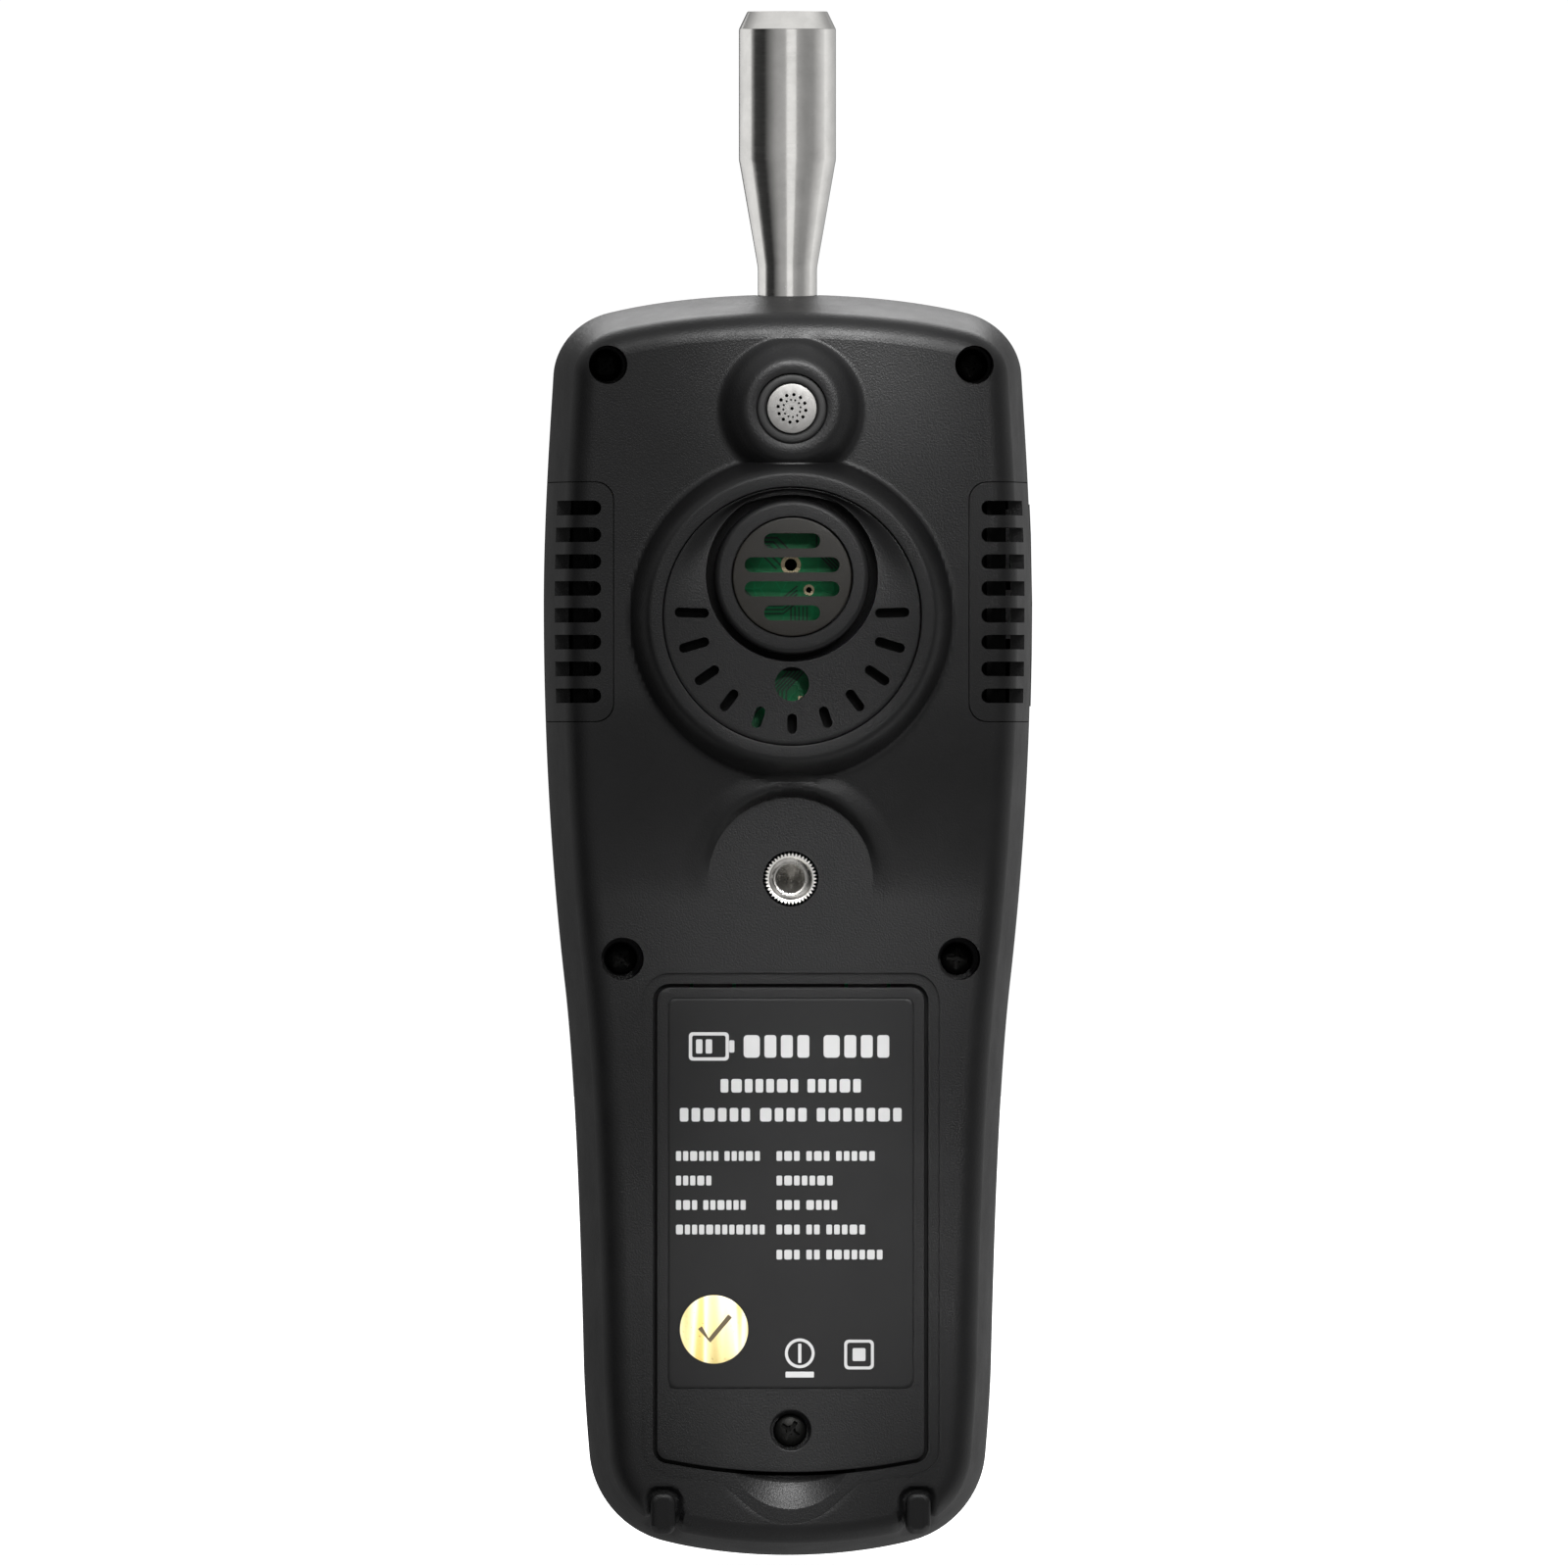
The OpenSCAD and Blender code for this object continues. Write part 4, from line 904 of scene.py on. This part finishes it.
def build_print():
    """Plain bars where the label's print is, and a battery sign. There is no lettering."""
    y0, y1 = GRIP - 0.1, GRIP - 0.085
    bars = []

    def add(points, hole=None):
        bars.append(prism("b", points, y0, y1))
        if hole:
            cut(bars[-1], prism("c", hole, y0 - 1, y1 + 1))

    def block(k, count, wide):
        return wide * (1.25 if (k * 5 + count) % 4 == 0 else 0.92)

    def line(x, z, words, h, wide):
        """Words as rows of plain blocks, from x towards -X, the right when seen from behind."""
        for count in words:
            for k in range(count):
                w = block(k, count, wide)
                add(rounded(w, h, min(w, h) * 0.22, x - w / 2, z, 3))
                x -= w + wide * 0.36
            x -= wide * 0.75

    def centred(z, words, h, wide):
        width = sum(block(k, c, wide) + 0.36 * wide for c in words for k in range(c))
        width += wide * 0.75 * (len(words) - 1)
        line((width - 0.36 * wide) / 2, z, words, h, wide)

    line(7.3, 79.2, [4, 4], 3.5, 2.0)
    add(rounded(6.2, 4.4, 0.6, 12.7, 79.2, 5), rounded(5.2, 3.4, 0.3, 12.7, 79.2, 5))
    for w, h, x in ((0.8, 1.9, 9.15), (1.0, 2.2, 14.2), (1.0, 2.2, 12.7)):
        add(rounded(w, h, 0.2, x, 79.2, 3))
    centred(73.1, [7, 5], 2.1, 1.3)
    centred(68.6, [6, 4, 7], 2.1, 1.42)
    for z, left, right in ((62.2, [6, 5], [3, 3, 5]), (58.4, [5], [7]), (54.6, [3, 6], [3, 4]),
                           (50.8, [12], [3, 2, 5]), (46.9, [], [3, 2, 7])):
        line(17.8, z, left, 1.5, 0.86)
        line(2.2, z, right, 1.5, 0.94)
    add(arc(-1.4, 31.6, 2.3, 0, 354, 48), arc(-1.4, 31.6, 1.85, 0, 352, 44))
    add(rounded(0.5, 3.0, 0.1, -1.4, 31.6, 2))
    add(rounded(4.4, 0.9, 0.1, -1.4, 28.3, 2))
    add(rounded(4.6, 4.6, 0.7, -10.6, 31.4, 5), rounded(3.7, 3.7, 0.4, -10.6, 31.4, 5))
    add(rounded(2.0, 2.0, 0.2, -10.6, 31.4, 3))
    finish_piece(join("label_print", bars), "cover", PRINT)
    disc = [(0, GRIP - 0.1), (5.3, GRIP - 0.1), (5.3, GRIP - 0.05), (5.24, GRIP - 0.025), (0, GRIP - 0.02)]
    sticker = turned("sticker_piece", disc, *STICKER, 96)
    finish_piece(sticker, "cover", FOIL, ["inspection_sticker"])
    tick = ribbon([(14.1, 35.6), (12.6, 33.6), (9.4, 37.4)], 0.75, GRIP - 0.025, GRIP - 0.005)
    finish_piece(join("sticker_mark", [tick]), "cover", INK)


build_cover()
build_print()


# ---- feet
def build_feet():
    steps = ((0.0, -1.6), (-0.02, -0.25), (-0.12, 0.0), (-0.35, 0.17), (-0.7, 0.25), (-1.1, 0.27))
    feet = []
    for s in (-1, 1):
        rings = []
        for grow, dy in steps:
            row = []
            for x, z in rounded(3.9 + 2 * grow, 6.5 + 2 * grow, 1.5 + grow, s * FEET[0], FEET[1], 8):
                low = outline_low(abs(x))
                t = np.clip((low + 5.2 - z) / 4.4, 0, 1)
                fall = 3.6 * (1 - math.sqrt(max(0.0, 1 - float(t) ** 2)))
                row.append((x, GRIP + dy - fall, z))
            rings.append(row)
        feet.append(loft("f", rings, (True, True), 40))
    finish_piece(join("rear_feet_piece", feet, 40), "body", CASE, ["rear_feet"])


def outline_low(x):
    """Height of the outline's lower edge at a distance from the middle."""
    pts = [bezier(s, i / 40) for s in OUTLINE[-2:] for i in range(41)]
    pts.sort()
    return float(np.interp(x, [p[0] for p in pts], [p[1] for p in pts]))


build_feet()


# ---- probe
def build_probe():
    top, foot = 240.0, 194.8
    prof = [
        (3.1, foot), (4.45, foot), (4.6, foot + 0.12), (4.6, 199.6), (4.62, 200.1), (4.7, 200.7),
        (7.42, 216.3), (7.53, 216.8), (7.55, 217.2), (7.55, top - 2.85), (7.52, top - 2.7),
        (6.28, top - 0.12), (6.15, top), (5.85, top), (5.6, top - 0.3), (5.6, 219), (5.2, 217.6), (1.7, 208),
        (1.7, 205), (3.1, 204)]
    ob = turned("sampling_probe_piece", prof, 0, 0, 192, "Z", PART, 25)
    finish_piece(ob, "probe", STEEL, ["sampling_probe"])


build_probe()


# ---- front: window, keys
def build_display():
    w, h, zc = WINDOW
    lens = loft("display_window_piece", [
        [(x, y, z) for x, z in rounded(w - 2 * g, h - 2 * g, 3 - g, 0, zc)]
        for g, y in ((0, WINDOW_Y + 1.45), (0, WINDOW_Y + 0.25), (0.08, WINDOW_Y + 0.08), (0.25, WINDOW_Y))])
    finish_piece(lens, "body", GLASS, ["display_window"])


def symbol(kind, x, z, y):
    parts = []

    def add(points):
        parts.append(prism("b", points, y - 0.03, y + 0.05))

    def bar(w, h, dx=0.0, dz=0.0, turn=0):
        add(spin(rounded(w, h, min(w, h) * 0.3, x + dx, z + dz, 3), turn, x, z))

    if kind in ("up", "down"):
        s = 1 if kind == "up" else -1
        add([(x - 2.2, z - s * 1.3), (x + 2.2, z - s * 1.3), (x, z + s * 1.6)][::s])
    elif kind == "run":
        add([(x - 1.9, z - 2.6), (x + 2.7, z), (x - 1.9, z + 2.6)])
    elif kind == "power":
        add(arc(x, z, 2.2, 125, 415, 40) + arc(x, z, 1.6, 415, 125, 40))
        bar(0.6, 2.2, 0, 1.5)
    elif kind == "escape":
        bar(4.2, 0.65, 0, 0, 45)
        bar(4.2, 0.65, 0, 0, -45)
    else:
        for i in range(kind):
            bar(0.7, 2.2, 1.3 * (i - (kind - 1) / 2), 0)
    return parts


def build_keys():
    marks = {"key_left": 1, "key_middle": 2, "key_right": 3, "key_up": "up", "key_down": "down",
             "key_run": "run", "key_power": "power", "key_escape": "escape"}
    for name, (x, z, w, h) in KEYS.items():
        face = float(front_at(z))
        r = min(w, h) / 2 - 0.01
        flange = face + WALL + 1.1
        levels = ((-0.8, flange), (-0.8, face + WALL + 0.22), (0, face + WALL + 0.2), (0, face - 0.55),
                  (0.12, face - 0.8), (0.4, face - 1.0), (0.9, face - 1.1), (1.8, face - 1.13))
        rings = [[(px, y, pz) for px, pz in rounded(w - 2 * g, h - 2 * g, max(r - g, 0.3), x, z, 12)]
                 for g, y in levels]
        cap = loft("k", rings, (True, True), 40)
        root = flange if z > 100 else flange - 0.05
        stem = cylinder("k", 1.8, KEY_STEM, root, x, z, 32)
        finish_piece(join(name + "_piece", [cap, stem], 40), name, KEYCAP, [name])
        finish_piece(join(name + "_mark", symbol(marks[name], x, z, face - 1.14)), name, PRINT)


build_display()
build_keys()


# ---- CAD nodes shown as they are
CARRIED = [
    (DARK_AND_SHADE, "gas_sensor power_jack memory_card optical_chamber buzzer"),
    (BRASS, "cover_screw_insert laser_module"),
    (TRAY, "battery_tray chamber_lid pump_head"),
    (CAN, "battery_cells usb_socket card_slot pump_motor"),
    (WRAP, "battery_wrap"),
    (WIRE, "battery_lead"),
    (NYLON, "battery_plug filter_capsule"),
    (RUBBER, "port_flap probe_o_rings display_gasket"),
    (BOARD, "port_board main_board detector_board"),
    (FITTING, "inlet_spigot"),
    (TUBE, "inlet_sleeve pump_tube filter_tube exhaust_tube"),
    (SCREEN, "display_module"),
    (SILICONE, "keypad_mat"),
]
for material, nodes in CARRIED:
    for node in nodes.split():
        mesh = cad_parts[node].data
        mesh.materials.clear()
        mesh.materials.append(material)
        mesh.shade_smooth()
        mesh.set_sharp_from_angle(angle=math.radians(30))


# ---- stage, light and camera
def plane(name, centre, u, v):
    c, u, v = Vector(centre), Vector(u), Vector(v)
    me = bpy.data.meshes.new(name)
    me.from_pydata([c - u - v, c + u - v, c + u + v, c - u + v], [], [(0, 1, 2, 3)])
    ob = placed(name, me)
    return ob


FLOOR_Z = -SOCKET / 1000 - 0.0015
floor = plane("floor", (0, 0, FLOOR_Z), (12, 0, 0), (0, 12, 0))
m, nt, b = node_material("pale_floor")
greys = [(0.3, (0.80, 0.80, 0.80)), (0.7, (0.84, 0.84, 0.84))]
nt.links.new(ramp(nt, noise(nt, coords(nt, (2, 2, 2)), 1.0, 3.0), greys), b.inputs["Base Color"])
b.inputs["Roughness"].default_value = 0.9
b.inputs["Specular IOR Level"].default_value = 0.1
b.inputs["Emission Color"].default_value = (1, 1, 1, 1)
b.inputs["Emission Strength"].default_value = 0.97
floor.data.materials.append(m)
floor.visible_diffuse = False
floor.visible_glossy = False
floor.visible_shadow = False


def math_node(nt, op, a, b):
    n = nt.nodes.new("ShaderNodeMath")
    n.operation = op
    for k, v in enumerate((a, b)):
        if isinstance(v, float):
            n.inputs[k].default_value = v
        else:
            nt.links.new(v, n.inputs[k])
    return n.outputs[0]


def studio_world():
    """White behind the object for the camera; for reflections, a studio of bright and dark upright panels."""
    world = bpy.data.worlds.new("studio")
    bpy.context.scene.world = world
    world.use_nodes = True
    nt = world.node_tree
    nt.nodes.clear()
    tc = nt.nodes.new("ShaderNodeTexCoord")
    sep = nt.nodes.new("ShaderNodeSeparateXYZ")
    nt.links.new(tc.outputs["Generated"], sep.inputs[0])
    x, y, z = sep.outputs
    turn = math_node(nt, "ARCTAN2", math_node(nt, "MULTIPLY", x, -1.0), y)
    turn = math_node(nt, "ADD", math_node(nt, "DIVIDE", turn, 2 * pi), 0.5)
    # brightness at each bearing in degrees
    stops = [(-180, 0.15), (-155, 0.14), (-128, 0.40), (-97, 0.50), (-86, 0.05), (-58, 0.03), (-46, 0.20),
             (-28, 0.45), (-6, 0.55), (8, 0.55), (22, 0.50), (42, 0.36), (62, 0.38), (84, 0.75), (100, 1.00),
             (130, 0.60), (180, 0.20)]
    band = ramp(nt, turn, [((a + 180) / 360, (v, v, v)) for a, v in stops])
    above = remap(nt, z, 0.12, 0.45, 1.0, 0.15)
    below = remap(nt, z, -0.95, -0.4, 2.0, 1.0)
    fall = math_node(nt, "MULTIPLY", above, below)
    top = remap(nt, z, 0.25, 0.7, 0.0, 1.0)
    total = math_node(nt, "ADD", math_node(nt, "MULTIPLY", band, fall), top)
    back = nt.nodes.new("ShaderNodeBackground")
    nt.links.new(total, back.inputs["Color"])
    white = nt.nodes.new("ShaderNodeBackground")
    white.inputs["Color"].default_value = (1, 1, 1, 1)
    white.inputs["Strength"].default_value = 1.05
    lp = nt.nodes.new("ShaderNodeLightPath")
    sel = nt.nodes.new("ShaderNodeMixShader")
    nt.links.new(lp.outputs["Is Camera Ray"], sel.inputs[0])
    nt.links.new(back.outputs[0], sel.inputs[1])
    nt.links.new(white.outputs[0], sel.inputs[2])
    out = nt.nodes.new("ShaderNodeOutputWorld")
    nt.links.new(sel.outputs[0], out.inputs[0])


studio_world()


def light(name, kind, loc, aim, power):
    data = bpy.data.lights.new(name, kind)
    data.energy = power
    ob = placed(name, data)
    ob.location = loc
    ob.rotation_mode = "QUATERNION"
    ob.rotation_quaternion = (Vector(loc) - Vector(aim)).to_track_quat("Z", "Y")
    return ob


def area(name, loc, aim, size, power, size_y=None):
    ob = light(name, "AREA", loc, aim, power)
    ob.data.shape = "RECTANGLE"
    ob.data.size = size
    ob.data.size_y = size_y or size
    return ob


def pool(name, loc, aim, spread, power):
    """A soft round pool of light."""
    ob = light(name, "SPOT", loc, aim, power)
    ob.data.spot_size = 2 * math.atan(spread / (Vector(loc) - Vector(aim)).length)
    ob.data.spot_blend = 1.0
    ob.data.shadow_soft_size = 0.012
    return ob


key = area("key_light", (-0.13, 1.0, 0.71), (0, 0, 0), 0.8, 10, 0.5)
back_light = area("back_light", (0, -0.9, 0.9), (0, 0, 0.03), 0.9, 8)
pool_top = pool("pool_top", (-0.07, 1.1, 0.62), (-0.007, 0, 0.0845), 0.024, 110)
pool("pool_right", (-0.3, 1.4, 0.4), (-0.014, 0, 0.062), 0.030, 18)
pool("pool_middle", (-0.15, 1.4, 0.35), (-0.005, 0, -0.006), 0.038, 30)
pool("pool_label", (-0.15, 1.4, 0.25), (-0.004, 0, -0.060), 0.040, 28)
pool("pool_low", (-0.03, 1.0, 0.72), (0.001, 0, -0.0945), 0.0125, 120)
pool("pool_dial", (-0.15, 1.4, 0.35), (0.001, 0, 0.041), 0.024, 12)

# strips of light mirrored in the probe, which the key light, the back light and the top pool leave out
strips = [area("strip_middle", (-0.21, 1.49, -0.2), (0, 0, -0.2), 0.62, 1.7, 1.4),
          area("strip_left", (0.9, -0.7, -0.2), (0, 0, -0.2), 1.3, 3.6, 1.4),
          area("strip_right", (-0.9, -0.7, -0.2), (0, 0, -0.2), 1.3, 0.9, 1.4)]
only_probe = bpy.data.collections.new("only_probe")
all_but_probe = bpy.data.collections.new("all_but_probe")
for group in (only_probe, all_but_probe):
    group.objects.link(bpy.data.objects["sampling_probe_piece"])
all_but_probe.collection_objects[0].light_linking.link_state = "EXCLUDE"
for lamp in (key, back_light, pool_top):
    lamp.light_linking.receiver_collection = all_but_probe
for strip in strips:
    strip.light_linking.receiver_collection = only_probe

cam_data = bpy.data.cameras.new("camera")
cam = placed("camera", cam_data)
bpy.context.scene.camera = cam
distance, yaw, view_height = 8.0, math.radians(1.5), 0.2438
target = Vector((0.00053, PART / 1000, (119.9 - SOCKET) / 1000))
away = Vector((math.sin(yaw), math.cos(yaw), 0))
cam.location = target + away * distance
cam.rotation_mode = "QUATERNION"
cam.rotation_quaternion = away.to_track_quat("Z", "Y")
cam_data.sensor_width = 36
cam_data.lens = cam_data.sensor_width * distance / view_height
cam_data.clip_end = 100
cam_data.dof.use_dof = False

scene = bpy.context.scene
scene.view_settings.view_transform = "Standard"
scene.view_settings.look = "None"
scene.view_settings.exposure = 0.0
